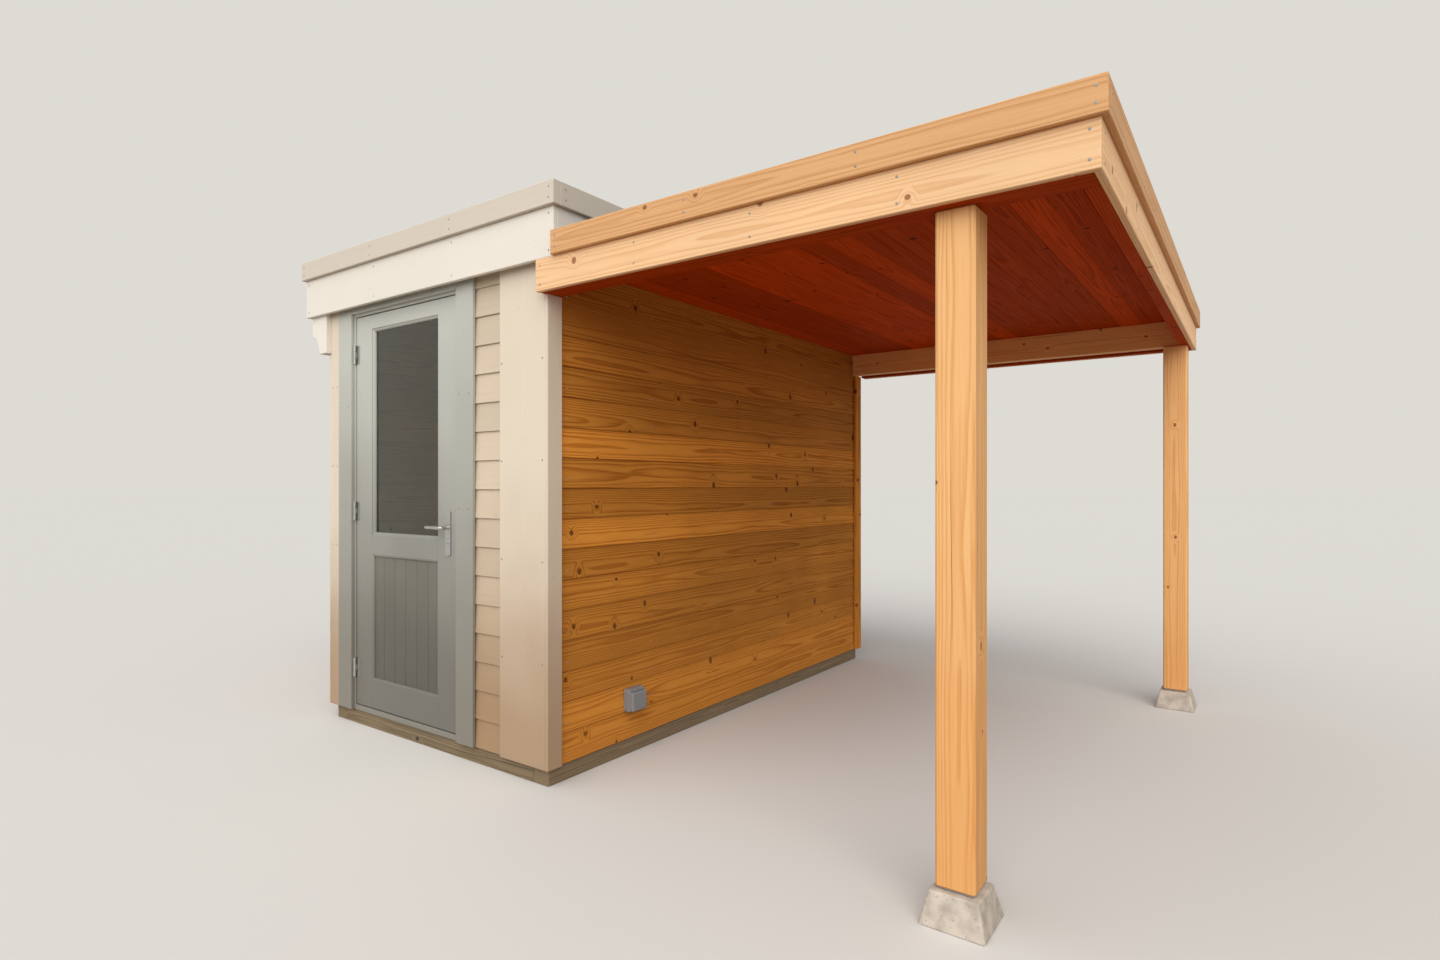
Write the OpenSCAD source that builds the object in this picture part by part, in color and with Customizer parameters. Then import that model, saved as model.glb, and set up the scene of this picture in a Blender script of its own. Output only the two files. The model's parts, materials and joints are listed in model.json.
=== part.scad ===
// Garden house with an open canopy: a closed timber room with a half-glazed door,
// and a lower flat canopy roof beside it on two posts.
// Millimetres, +Z up, front towards -Y. The origin is under the middle of the whole roof.
// Inside the modules x = 0, y = 0 is the room's front right corner at the ground:
// the room lies towards -X, the canopy towards +X, and both run back towards +Y.

/* [Front wall] */
// Width of the front wall to the left of the door frame
pier_left = 160; // [140:5:600]
// Width of the front wall between the door frame and the canopy
pier_right = 580; // [470:10:1200]
// Height of the front wall over the door frame
over_door = 102; // [80:1:200]

/* [Walls] */
// Depth of the closed room over its walls
room_d = 3050; // [2400:10:3600]
// Thickness of the wall boards
board_t = 20; // [18:1:28]
// Depth of the wall studs
stud_d = 50; // [45:1:75]
// Width of the wall studs
stud_w = 45; // [38:1:60]
// Largest spacing of the wall studs
stud_step = 600; // [400:10:900]
// Height of the plates under and over the studs
plate_h = 45; // [38:1:60]

/* [Base] */
// Height of the base frame that the walls stand on
base_h = 80; // [50:5:120]
// How far the base frame stands back from the wall face
base_inset = 12; // [0:1:20]
// Width of a beam of the base frame
base_beam_w = 95; // [80:1:140]
// Largest spacing of the cross beams in the base frame
base_step = 620; // [400:10:900]
// Thickness of the floor boards
floor_t = 21; // [16:1:30]

/* [Roof edges] */
// How far the roofs reach in front of the wall
over_front = 90; // [75:5:160]
// How far the roofs reach behind the wall
over_rear = 150; // [80:5:250]
// How far the room's roof reaches past the left wall
over_left = 195; // [120:5:250]
// How far the room's roof reaches over the canopy
over_right = 130; // [80:5:200]
// Thickness of a fascia board
fascia_t = 22; // [16:1:30]
// How far the roof trim stands out from the fascia board
trim_lip = 20; // [10:1:30]
// Height of the roof trim
trim_h = 100; // [80:5:130]
// Height of the room's fascia boards, and so of the step between the roofs
room_fascia_h = 210; // [190:5:235]
// Height of the canopy's fascia boards
canopy_fascia_h = 135; // [120:5:150]
// Height of the upstand that the trim makes above the room's roofing
upstand = 55; // [30:1:70]
// Height of the upstand that the trim makes above the canopy's roofing
canopy_upstand = 12; // [8:1:25]
// How far the room's fascia hangs below its soffit
fascia_drop = 50; // [20:5:70]
// Thickness of the soffit boards
soft_t = 15; // [10:1:20]
// Thickness of the roof boards
deck_t = 18; // [15:1:25]
// Thickness of the roofing sheet
sheet_t = 3; // [2:1:6]
// Height of the room's rafters
rafter_h = 120; // [90:5:140]
// Width of a rafter or joist
rafter_w = 45; // [38:1:70]
// Thickness of the battens that back the front and rear fascias
batten_t = 30; // [20:1:32]
// Largest spacing of rafters and joists
rafter_step = 600; // [350:10:800]
// Gap between the canopy's roofing and the fascia that hangs over it
sheet_gap = 5; // [3:1:15]
// Gap left where two boards meet end to end
joint_gap = 0.5; // [0.3:0.1:1]

/* [Canopy] */
// Width of the canopy roof from the room's wall to its right edge
canopy_w = 2180; // [1900:10:2600]
// Height of the flat joists between the canopy's ceiling and its roof boards
joist_h = 35; // [28:1:50]
// Thickness of the ceiling boards
ceiling_t = 15; // [12:1:20]
// Height of the beams that carry the ceiling
beam_h = 150; // [120:5:180]
// Thickness of the front beam, front to back
front_beam_t = 110; // [90:5:140]
// Width of the beam that the rear post carries
rear_beam_w = 70; // [50:5:110]
// Width of the beams behind the canopy's side and rear fascias
side_beam_w = 45; // [38:1:60]

/* [Posts] */
// Side of a square post
post_w = 120; // [100:5:150]
// Front post: distance of its middle in from the canopy's right edge
front_post_in = 420; // [110:10:700]
// Front post: distance of its front face behind the fascia's inner face
front_post_set = 38; // [0:1:60]
// Rear post: gap between it and the side fascia's inner face
rear_post_gap = 8; // [2:1:100]
// Width of a concrete foot at the ground
foot_w = 200; // [180:5:260]
// Width of a concrete foot at its top
foot_top_w = 150; // [130:5:170]
// Height of a concrete foot
foot_h = 100; // [60:5:160]
// Thickness of the steel plate under a post
shoe_t = 8; // [5:1:12]
// Side of the steel plate under a post
shoe_w = 100; // [70:5:120]
// Bevel on the long edges of a post
post_bevel = 6; // [2:1:10]

/* [Door] */
// Width of the door leaf
leaf_w = 890; // [760:5:1000]
// Height of the door leaf
leaf_h = 2100; // [1950:5:2300]
// Thickness of the door leaf
leaf_t = 44; // [38:1:46]
// How far the leaf lies back from the wall face
leaf_back = 4; // [2:1:8]
// Gap round the leaf
leaf_gap = 5; // [5:0.5:8]
// Face width of the jambs
jamb_w = 60; // [50:1:65]
// Face height of the frame's head
head_h = 45; // [35:1:55]
// Height of the sill above the base frame
sill_h = 27; // [20:1:40]
// How far the door stop reaches behind the leaf
stop_w = 12; // [8:1:20]
// Strip of jamb left bare beside the casing
reveal = 15; // [12:1:20]
// Width of the casing boards beside the door
casing_w = 130; // [90:5:150]
// Thickness of casings and corner boards
casing_t = 18; // [12:1:24]

/* [Door leaf] */
// Width of the leaf's stiles
stile_w = 150; // [110:5:180]
// Height of the glass's lower edge above the leaf's foot
glass_from = 925; // [850:5:1200]
// Thickness of the glass
glass_t = 6; // [4:1:12]
// Height of the leaf's top rail
top_rail = 75; // [60:5:120]
// Height of the rail under the glass
mid_rail = 105; // [80:5:160]
// Height of the leaf's bottom rail
bottom_rail = 150; // [100:5:200]
// Thickness of the lower door panel
panel_t = 20; // [16:1:26]
// Depth that glass and panel sit in their grooves
groove = 10; // [6:1:15]
// Width of the glazing beads
bead_w = 14; // [10:1:20]
// How far the glazing beads lie back from the faces of the leaf
bead_back = 5; // [2:1:8]
// Height of the handle above the leaf's foot
handle_z = 985; // [900:5:1080]
// Distance of the handle from the leaf's edge
handle_in = 62; // [50:1:80]
// Length of the handle's lever
lever_l = 120; // [100:5:140]
// Radius of the handle's lever
lever_r = 9; // [7:0.5:11]
// How far the lever's middle stands out from the leaf
lever_out = 50; // [40:1:60]
// Width of the handle's shield
shield_w = 40; // [30:1:50]
// Height of the handle's shield
shield_h = 220; // [180:5:260]
// How far the handle's shield reaches below the lever
shield_below = 136; // [110:2:170]
// Thickness of the handle's shield
shield_t = 8; // [5:1:10]

/* [Hinges] */
// Length of a hinge
hinge_l = 100; // [80:5:130]
// Radius of a hinge knuckle
knuckle_r = 7; // [5:0.5:7]
// Distance of the hinge pin in front of the wall face
pin_out = 8; // [8:0.5:10]
// Height of the lowest hinge above the leaf's foot
hinge_low = 200; // [150:10:300]
// Thickness of a hinge plate
hinge_t = 3; // [2:0.5:3]
// How far a hinge plate reaches onto the leaf
plate_reach = 30; // [20:1:45]
// Gap between two knuckles of a hinge
knuckle_gap = 1; // [0.5:0.5:2]

/* [Trims] */
// Width of the front right corner board
corner_w = 300; // [200:10:350]
// Width of the other legs of the corner boards
corner_leg = 65; // [50:5:75]
// Height of the brackets under the left eave
bracket_h = 260; // [150:5:300]
// Share of a bracket's width that its curved cut-out takes
bracket_cut_x = 0.5; // [0.4:0.05:0.9]
// Share of a bracket's height that its curved cut-out takes
bracket_cut_z = 0.4; // [0.3:0.05:0.8]

/* [Socket] */
// Side of the socket box
socket_w = 110; // [80:5:140]
// Depth of the socket box
socket_d = 33; // [25:1:50]
// Depth of the socket's hinged lid
lid_d = 22; // [12:1:30]
// Margin of the box round the lid
lid_in = 4; // [2:1:8]
// Height of the strip over the lid
lid_top = 14; // [8:1:24]
// Height of the socket box's middle
socket_z = 270; // [200:10:400]
// Distance of the socket box behind the front wall face
socket_y = 530; // [300:10:900]

/* [Hidden] */

// How far a cutting shape reaches past the face that it cuts
over = 1;
// Number of flats round a pin, knuckle or lever
round_n = 32;
// Number of straight steps in a bracket's curve
curve_n = 12;
// Number of hinges on the door
hinge_n = 3;

// The room's front, from right to left: a pier, the door frame's hole and a pier
wall_t = board_t + stud_d;
hole_w = leaf_w + 2 * (leaf_gap + jamb_w);
room_w = pier_left + hole_w + pier_right;
hole_right = -pier_right;
hole_left = hole_right - hole_w;
door_mid = hole_right - hole_w / 2;
leaf_left = door_mid - leaf_w / 2;
leaf_right = door_mid + leaf_w / 2;

// Heights, from the base frame up over the door to the room's roof
leaf_z = base_h + sill_h + leaf_gap;
leaf_top = leaf_z + leaf_h;
hole_top = leaf_top + leaf_gap + head_h;
wall_top = hole_top + over_door;
rafter_top = wall_top + rafter_h;
room_deck_top = rafter_top + deck_t;
room_sheet_top = room_deck_top + sheet_t;
room_top = room_sheet_top + upstand;
room_trim_z = room_top - trim_h;
room_low = room_trim_z - room_fascia_h;
soffit_z = room_low + fascia_drop;

// The canopy's fascia hangs from the level of the room's fascia, with its trim beside that
canopy_trim_z = room_low;
canopy_top = canopy_trim_z + trim_h;
canopy_low = canopy_trim_z - canopy_fascia_h;
canopy_sheet_top = canopy_top - canopy_upstand;
canopy_deck_top = canopy_sheet_top - sheet_t;
joist_top = canopy_deck_top - deck_t;
ceiling_top = joist_top - joist_h;
ceiling_z = ceiling_top - ceiling_t;
beam_z = ceiling_z - beam_h;

// Roof edges: the outer faces of the trims and the inner faces of the fascias
edge_t = trim_lip + fascia_t;
edge_front = -over_front;
edge_rear = room_d + over_rear;
edge_left = -room_w - over_left;
edge_step = over_right;
edge_right = canopy_w;
in_front = edge_front + edge_t;
in_rear = edge_rear - edge_t;
in_left = edge_left + edge_t;
in_step = edge_step - edge_t;
in_right = edge_right - edge_t;

// The place of the room's corner in the whole roof's box
corner_x = (-edge_left - edge_right) / 2;
corner_y = (-edge_front - edge_rear) / 2;

// Door
stop_y = leaf_back + leaf_t + leaf_gap;
casing_left = leaf_left - leaf_gap - reveal - casing_w;
casing_right = leaf_right + leaf_gap + reveal + casing_w;
casing_low = leaf_top + leaf_gap + reveal;
glass_top = leaf_top - top_rail;
glass_low = leaf_z + glass_from;
panel_top = glass_low - mid_rail;
panel_low = leaf_z + bottom_rail;
glass_left = leaf_left + stile_w;
glass_right = leaf_right - stile_w;
leaf_mid = leaf_back + leaf_t / 2;
hinge_step = (leaf_h - 2 * hinge_low) / (hinge_n - 1);
hinge_zs = [for (i = [0:hinge_n - 1]) leaf_z + hinge_low + i * hinge_step];
knuckle_h = hinge_l / 3;

// Posts and brackets
post_z = foot_h + shoe_t;
front_post_x = canopy_w - front_post_in;
front_post_y = in_front + front_post_set + post_w / 2;
rear_post_x = in_right - rear_post_gap - post_w / 2;
rear_post_y = room_d - post_w / 2;
bracket_w = over_left - edge_t;
bracket_t = corner_leg - in_front;
bracket_z = soffit_z - bracket_h;

// Starts of the fewest equal-spaced bars of width w that fill from a to b with a
// spacing of at most step
function spread(a, b, w, step) =
  let (n = ceil((b - a - w) / step))
  [for (k = [0:n]) a + k * (b - a - w) / n];

// A box from its low corner to its high corner
module box(low, high) {
  translate(low) cube(high - low);
}

// Puts what is drawn from the room's front right corner in the part's frame
module place() {
  translate([corner_x, corner_y, 0]) children();
}

// A square post with bevelled long edges, from the height z0 to z1
module post(x, y, z0, z1) {
  b = post_bevel;
  h = post_w / 2;
  translate([x, y, z0])
    linear_extrude(z1 - z0)
      polygon([
        [-h + b, -h], [h - b, -h], [h, -h + b], [h, h - b],
        [h - b, h], [-h + b, h], [-h, h - b], [-h, -h + b]
      ]);
}

// Side beams under the walls, and cross beams between them
module base_frame() {
  l = -room_w + base_inset;
  r = -base_inset;
  b = base_beam_w;
  color("dimgray") place() {
    for (x = [l, r - b])
      box([x, base_inset, 0], [x + b, room_d - base_inset, base_h]);
    for (y = spread(base_inset, room_d - base_inset, b, base_step))
      box([l + b + joint_gap, y, 0], [r - b - joint_gap, y + b, base_h]);
  }
}

module floor_boards() {
  color("burlywood") place()
    box([-room_w + wall_t, wall_t, base_h], [-wall_t, room_d - wall_t, base_h + floor_t]);
}

// The boards of the front and back walls reach up to the roof boards, between rafters
module front_wall_left() {
  color("antiquewhite") place()
    box([-room_w, 0, base_h], [hole_left, board_t, rafter_top]);
}

module front_wall_right() {
  color("antiquewhite") place()
    box([hole_right, 0, base_h], [0, board_t, rafter_top]);
}

module front_wall_over_door() {
  color("antiquewhite") place()
    box([hole_left, 0, hole_top], [hole_right, board_t, rafter_top]);
}

module left_wall() {
  color("peru") place()
    box([-room_w, board_t, base_h], [-room_w + board_t, room_d - board_t, wall_top]);
}

module canopy_side_wall() {
  color("peru") place()
    box([-board_t, board_t, base_h], [0, room_d - board_t, wall_top]);
}

module back_wall() {
  color("peru") place()
    box([-room_w, room_d - board_t, base_h], [0, room_d, rafter_top]);
}

// Studs of all walls, and the lintel over the door frame
module wall_studs() {
  z0 = base_h + plate_h;
  z1 = wall_top - plate_h;
  l = -room_w + board_t;
  r = -board_t;
  side_ys = spread(wall_t + joint_gap, room_d - wall_t - joint_gap, stud_w, stud_step);
  color("wheat") place() {
    for (x = [l, hole_left - stud_w, hole_right, r - stud_w])
      box([x, board_t, z0], [x + stud_w, wall_t, z1]);
    for (x = spread(l, r, stud_w, stud_step))
      box([x, room_d - wall_t, z0], [x + stud_w, room_d - board_t, z1]);
    for (x = [l, r - stud_d], y = side_ys)
      box([x, y, z0], [x + stud_d, y + stud_w, z1]);
    box(
      [hole_left + joint_gap, board_t, hole_top],
      [hole_right - joint_gap, wall_t, z1]
    );
  }
}

// Plates under and over the studs, left out under the door
module wall_plates() {
  l = -room_w + board_t;
  r = -board_t;
  y0 = wall_t + joint_gap;
  y1 = room_d - wall_t - joint_gap;
  color("wheat") place() {
    box([l, board_t, base_h], [hole_left, wall_t, base_h + plate_h]);
    box([hole_right, board_t, base_h], [r, wall_t, base_h + plate_h]);
    box([l, board_t, wall_top - plate_h], [r, wall_t, wall_top]);
    for (z = [base_h, wall_top - plate_h]) {
      box([l, y0, z], [l + stud_d, y1, z + plate_h]);
      box([r - stud_d, y0, z], [r, y1, z + plate_h]);
      box([l, room_d - wall_t, z], [r, room_d - board_t, z + plate_h]);
    }
  }
}

// Wide board on the front, with a narrow leg round the corner up to the canopy
module front_corner_board() {
  color("linen") place() {
    box([-corner_w, -casing_t, base_h], [0, 0, soffit_z]);
    box([0, -casing_t, base_h], [casing_t, corner_leg, beam_z]);
  }
}

// Narrow boards at the other three corners
module corner_boards() {
  color("linen") place() {
    box([-room_w, -casing_t, base_h], [casing_left, 0, soffit_z]);
    box([-room_w - casing_t, -casing_t, base_h], [-room_w, corner_leg, bracket_z]);
    rear_corner(-room_w, -1, bracket_z);
    rear_corner(0, 1, beam_z);
  }
}

// Two legs round a rear corner: one on the back wall, and one that covers its edge
// and lies on the side wall that looks towards side, up to the height top
module rear_corner(x, side, top) {
  out = x + side * casing_t;
  far = x - side * corner_leg;
  box([min(x, far), room_d, base_h], [max(x, far), room_d + casing_t, soffit_z]);
  box([min(x, out), room_d - corner_leg, base_h], [max(x, out), room_d + casing_t, top]);
}

// Jambs, head and sill in one, with a rebate that the leaf closes into
module door_frame() {
  g = leaf_gap;
  s = stop_w - leaf_gap;
  color("silver") place() difference() {
    box([hole_left, 0, base_h], [hole_right, wall_t, hole_top]);
    box([leaf_left - g, -over, leaf_z - g], [leaf_right + g, stop_y, leaf_top + g]);
    box(
      [leaf_left + s, stop_y - over, leaf_z + s],
      [leaf_right - s, wall_t + over, leaf_top - s]
    );
  }
}

// Boards that cover the joint between frame and wall, up to the soffit
module door_casing() {
  l = casing_left + casing_w;
  r = casing_right - casing_w;
  color("silver") place() {
    box([casing_left, -casing_t, base_h], [l, 0, soffit_z]);
    box([r, -casing_t, base_h], [casing_right, 0, soffit_z]);
    box([l + joint_gap, -casing_t, casing_low], [r - joint_gap, 0, soffit_z]);
  }
}

// The room in the leaf for the glass, from face to face; grown by the groove it is the glass
module glass_space(t, grow) {
  box(
    [glass_left - grow, leaf_mid - t / 2, glass_low - grow],
    [glass_right + grow, leaf_mid + t / 2, glass_top + grow]
  );
}

// The same for the panel
module panel_space(t, grow) {
  box(
    [glass_left - grow, leaf_mid - t / 2, panel_low - grow],
    [glass_right + grow, leaf_mid + t / 2, panel_top + grow]
  );
}

// Stiles and rails, with grooves for the glass and the panel
module door_leaf() {
  color("darkgray") place() difference() {
    box([leaf_left, leaf_back, leaf_z], [leaf_right, leaf_back + leaf_t, leaf_top]);
    glass_space(leaf_t + 2 * over, 0);
    panel_space(leaf_t + 2 * over, 0);
    glass_space(glass_t, groove);
    panel_space(panel_t, groove);
  }
}

module door_panel() {
  color("gray") place() panel_space(panel_t, groove);
}

module door_glass() {
  color("lightsteelblue", 0.4) place() glass_space(glass_t, groove);
}

// A frame of beads on each side of the glass
module glazing_beads() {
  b = bead_w;
  out = leaf_t / 2 - bead_back;
  color("darkgray") place() translate([0, leaf_mid, 0])
    for (y = [[-out, -glass_t / 2], [glass_t / 2, out]])
      difference() {
        box([glass_left, y[0], glass_low], [glass_right, y[1], glass_top]);
        box(
          [glass_left + b, y[0] - over, glass_low + b],
          [glass_right - b, y[1] + over, glass_top - b]
        );
      }
}

// Lever handles with a long shield on both faces of the leaf
module door_handle() {
  x = leaf_right - handle_in;
  z = leaf_z + handle_z;
  color("gainsboro") place() {
    translate([x, leaf_back, z]) rotate([90, 0, 0]) handle_side();
    translate([x, leaf_back + leaf_t, z]) mirror([0, 1, 0]) rotate([90, 0, 0]) handle_side();
  }
}

// One side of the handle, standing up from its shield's back
module handle_side() {
  translate([-shield_w / 2, -shield_below, 0]) cube([shield_w, shield_h, shield_t]);
  cylinder(r = lever_r, h = lever_out, $fn = round_n);
  translate([0, 0, lever_out])
    rotate([0, -90, 0])
      cylinder(r = lever_r, h = lever_l, $fn = round_n);
  translate([0, 0, lever_out]) sphere(r = lever_r, $fn = round_n);
}

// The leaf's half of each hinge: the middle knuckle and the plate on the leaf
module door_hinges() {
  h = hinge_l / 2;
  k = knuckle_h / 2;
  color("gainsboro") place() for (z = hinge_zs) {
    translate([leaf_left, -pin_out, z - k]) cylinder(r = knuckle_r, h = 2 * k, $fn = round_n);
    box([leaf_left, -pin_out, z - k], [leaf_left + hinge_t, leaf_back, z + k]);
    box([leaf_left, leaf_back - hinge_t, z - h], [leaf_left + plate_reach, leaf_back, z + h]);
  }
}

// The frame's half of each hinge: the outer knuckles and their plates on the jamb
module frame_hinges() {
  h = hinge_l / 2;
  k = knuckle_h / 2 + knuckle_gap;
  color("gainsboro") place() for (z = hinge_zs, z0 = [z - h, z + k]) {
    translate([leaf_left, -pin_out, z0]) cylinder(r = knuckle_r, h = h - k, $fn = round_n);
    box([leaf_left - leaf_gap - reveal, -hinge_t, z0], [leaf_left, 0, z0 + h - k]);
  }
}

// Curved brackets that carry the eave over the two left corner boards, the front one
// right behind the fascia
module eave_brackets() {
  color("linen") place()
    for (y = [corner_leg, room_d - corner_leg + bracket_t])
      translate([-room_w, y, 0])
        rotate([90, 0, 0])
          linear_extrude(bracket_t)
            bracket_outline();
}

// Outline of a bracket: a rectangle with a quarter of an oval cut from its outer foot
module bracket_outline() {
  rx = bracket_w * bracket_cut_x;
  rz = bracket_h * bracket_cut_z;
  n = curve_n;
  translate([-bracket_w, bracket_z])
    polygon([
      for (k = [0:n]) [rx * cos(k * 90 / n), rz * sin(k * 90 / n)],
      [0, bracket_h], [bracket_w, bracket_h], [bracket_w, 0]
    ]);
}

// Battens behind the front and rear fascias, and rafters from wall to wall
module room_rafters() {
  b = batten_t;
  color("wheat") place() {
    for (y = [in_front, in_rear - b])
      box([in_left, y, wall_top], [in_step, y + b, rafter_top]);
    for (y = spread(wall_t - rafter_w, room_d - wall_t + rafter_w, rafter_w, rafter_step))
      box([in_left, y, wall_top], [in_step, y + rafter_w, rafter_top]);
  }
}

module room_roof_deck() {
  color("tan") place()
    box([in_left, in_front, rafter_top], [in_step, in_rear, room_deck_top]);
}

module room_roof_sheet() {
  color("darkslategray") place()
    box([in_left, in_front, room_deck_top], [in_step, in_rear, room_sheet_top]);
}

// Front, rear, left and right boards round the room's roof
module room_fascia() {
  l = edge_left + trim_lip;
  r = edge_step - trim_lip;
  f = edge_front + trim_lip;
  b = edge_rear - trim_lip;
  color("linen") place() {
    box([l, f, room_low], [r, in_front, room_trim_z]);
    box([l, in_rear, room_low], [r, b, room_trim_z]);
    box([l, in_front + joint_gap, room_low], [in_left, in_rear - joint_gap, room_trim_z]);
    box(
      [in_step, in_front + joint_gap, canopy_sheet_top + sheet_gap],
      [r, in_rear - joint_gap, room_trim_z]
    );
  }
}

// Thicker boards on top of the fascia, standing out all round
module room_trim() {
  l = edge_left;
  r = edge_step;
  z = room_trim_z;
  color("linen") place() {
    box([l, edge_front, z], [r, in_front, room_top]);
    box([l, in_rear, z], [r, edge_rear, room_top]);
    box([l, in_front + joint_gap, z], [in_left, in_rear - joint_gap, room_top]);
    box([in_step, in_front + joint_gap, z], [r, in_rear - joint_gap, room_top]);
  }
}

// Boards under the overhangs in front, behind and on the left
module room_soffit() {
  z = soffit_z + soft_t;
  color("linen") place() {
    box([in_left, in_front, soffit_z], [0, 0, z]);
    box([in_left, room_d, soffit_z], [0, in_rear, z]);
    box([in_left, joint_gap, soffit_z], [-room_w, room_d - joint_gap, z]);
  }
}

module canopy_front_beam() {
  color("sandybrown") place()
    box([0, in_front, beam_z], [in_right, in_front + front_beam_t, ceiling_z]);
}

module canopy_rear_beam() {
  y = rear_post_y - rear_beam_w / 2;
  color("sienna") place()
    box([0, y, beam_z], [in_right - side_beam_w, y + rear_beam_w, ceiling_z]);
}

// Beams under the ceiling, behind the side and rear fascias
module canopy_rim() {
  w = side_beam_w;
  y = in_front + front_beam_t;
  color("peru") place() {
    box([in_right - w, y, beam_z], [in_right, in_rear, ceiling_z]);
    box([0, in_rear - w, beam_z], [in_right - w - joint_gap, in_rear, ceiling_z]);
  }
}

// Flat joists on the ceiling boards: along the wall and the side, and across between them
module canopy_joists() {
  w = rafter_w;
  z = ceiling_top;
  color("peru") place() {
    for (x = [0, in_right - w])
      box([x, in_front, z], [x + w, in_rear, joist_top]);
    for (y = spread(in_front, in_rear, w, rafter_step))
      box([w + joint_gap, y, z], [in_right - w - joint_gap, y + w, joist_top]);
  }
}

module canopy_ceiling() {
  color("saddlebrown") place()
    box([0, in_front, ceiling_z], [in_right, in_rear, ceiling_top]);
}

module canopy_roof_deck() {
  color("tan") place()
    box([0, in_front, joist_top], [in_right, in_rear, canopy_deck_top]);
}

module canopy_roof_sheet() {
  color("darkslategray") place()
    box([0, in_front, canopy_deck_top], [in_right, in_rear, canopy_sheet_top]);
}

// Front, rear and side boards round the canopy's roof
module canopy_fascia() {
  r = edge_right - trim_lip;
  f = edge_front + trim_lip;
  b = edge_rear - trim_lip;
  z = canopy_trim_z;
  color("sandybrown") place() {
    box([0, f, canopy_low], [r, in_front, z]);
    box([0, in_rear, canopy_low], [r, b, z]);
    box([in_right, in_front + joint_gap, canopy_low], [r, in_rear - joint_gap, z]);
  }
}

// Trim boards of the canopy, up to the room's higher roof edge
module canopy_trim() {
  z = canopy_trim_z;
  l = edge_step - trim_lip;
  r = edge_right;
  color("burlywood") place() {
    box([l, edge_front, z], [r, in_front, canopy_top]);
    box([l, in_rear, z], [r, edge_rear, canopy_top]);
    box([in_right, in_front + joint_gap, z], [r, in_rear - joint_gap, canopy_top]);
  }
}

module front_post() {
  color("sandybrown") place()
    post(front_post_x, front_post_y, post_z, beam_z);
}

module rear_post() {
  color("sandybrown") place()
    post(rear_post_x, rear_post_y, post_z, beam_z);
}

// Puts a shape under each post
module at_posts() {
  for (p = [[front_post_x, front_post_y], [rear_post_x, rear_post_y]])
    translate([p[0], p[1], 0]) children();
}

// Tapered concrete feet
module post_feet() {
  color("lightgray") place() at_posts()
    linear_extrude(foot_h, scale = foot_top_w / foot_w)
      square(foot_w, center = true);
}

module post_shoes() {
  color("silver") place() at_posts()
    translate([0, 0, foot_h + shoe_t / 2])
      cube([shoe_w, shoe_w, shoe_t], center = true);
}

// Weatherproof socket with a hinged lid, on the wall under the canopy
module socket_box() {
  h = socket_w / 2;
  color("gray") place()
    translate([0, socket_y, socket_z]) {
      box([0, -h, -h], [socket_d, h, h]);
      box([socket_d, -h + lid_in, -h + lid_in], [socket_d + lid_d, h - lid_in, h - lid_top]);
    }
}

base_frame();
floor_boards();
front_wall_left();
front_wall_right();
front_wall_over_door();
left_wall();
canopy_side_wall();
back_wall();
wall_studs();
wall_plates();
front_corner_board();
corner_boards();
door_frame();
door_casing();
door_leaf();
door_panel();
door_glass();
glazing_beads();
door_handle();
door_hinges();
frame_hinges();
eave_brackets();
room_rafters();
room_roof_deck();
room_roof_sheet();
room_fascia();
room_trim();
room_soffit();
canopy_front_beam();
canopy_rear_beam();
canopy_rim();
canopy_joists();
canopy_ceiling();
canopy_roof_deck();
canopy_roof_sheet();
canopy_fascia();
canopy_trim();
front_post();
rear_post();
post_feet();
post_shoes();
socket_box();
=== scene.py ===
# %% [markdown]
# # A garden house with an open canopy
# The real object is a small timber building: a closed room with a half-glazed door, and
# beside it a lower flat roof on two posts. Its construction comes ready from the frame, as
# solids in metres. Left to make is what joiners and painters add: separate boards, soft
# edges, grain, knots, paint, metal and glass.
# Each piece takes its place from the solid that it stands for, so nothing has to be fitted.

# %% Load the frame
import itertools
import json
from functools import partial

import bpy
import numpy as np
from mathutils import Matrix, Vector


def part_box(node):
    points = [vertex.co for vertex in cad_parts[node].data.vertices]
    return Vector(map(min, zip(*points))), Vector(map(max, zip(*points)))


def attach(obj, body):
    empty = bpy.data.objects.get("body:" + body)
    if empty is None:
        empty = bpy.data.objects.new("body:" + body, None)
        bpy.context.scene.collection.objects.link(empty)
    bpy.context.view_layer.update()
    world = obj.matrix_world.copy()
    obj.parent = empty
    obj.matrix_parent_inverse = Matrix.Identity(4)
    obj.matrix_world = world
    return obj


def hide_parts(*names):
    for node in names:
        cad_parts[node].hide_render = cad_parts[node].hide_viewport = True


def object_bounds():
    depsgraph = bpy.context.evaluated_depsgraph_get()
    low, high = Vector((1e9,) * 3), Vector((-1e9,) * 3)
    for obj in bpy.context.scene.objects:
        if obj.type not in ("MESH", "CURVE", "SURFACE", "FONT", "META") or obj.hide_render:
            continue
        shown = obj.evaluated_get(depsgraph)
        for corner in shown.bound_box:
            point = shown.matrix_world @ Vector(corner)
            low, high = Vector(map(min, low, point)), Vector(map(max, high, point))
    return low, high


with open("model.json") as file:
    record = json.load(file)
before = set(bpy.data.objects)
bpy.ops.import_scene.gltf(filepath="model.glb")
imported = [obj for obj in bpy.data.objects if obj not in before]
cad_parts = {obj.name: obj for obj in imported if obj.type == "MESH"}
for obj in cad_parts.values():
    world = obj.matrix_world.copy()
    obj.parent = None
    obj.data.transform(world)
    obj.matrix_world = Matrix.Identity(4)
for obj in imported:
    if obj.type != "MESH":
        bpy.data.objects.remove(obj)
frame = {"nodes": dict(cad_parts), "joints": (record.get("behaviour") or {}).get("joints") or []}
cad_low, cad_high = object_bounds()
MM = 0.001
print("solids from", [round(x, 3) for x in cad_low], "to", [round(x, 3) for x in cad_high])

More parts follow.
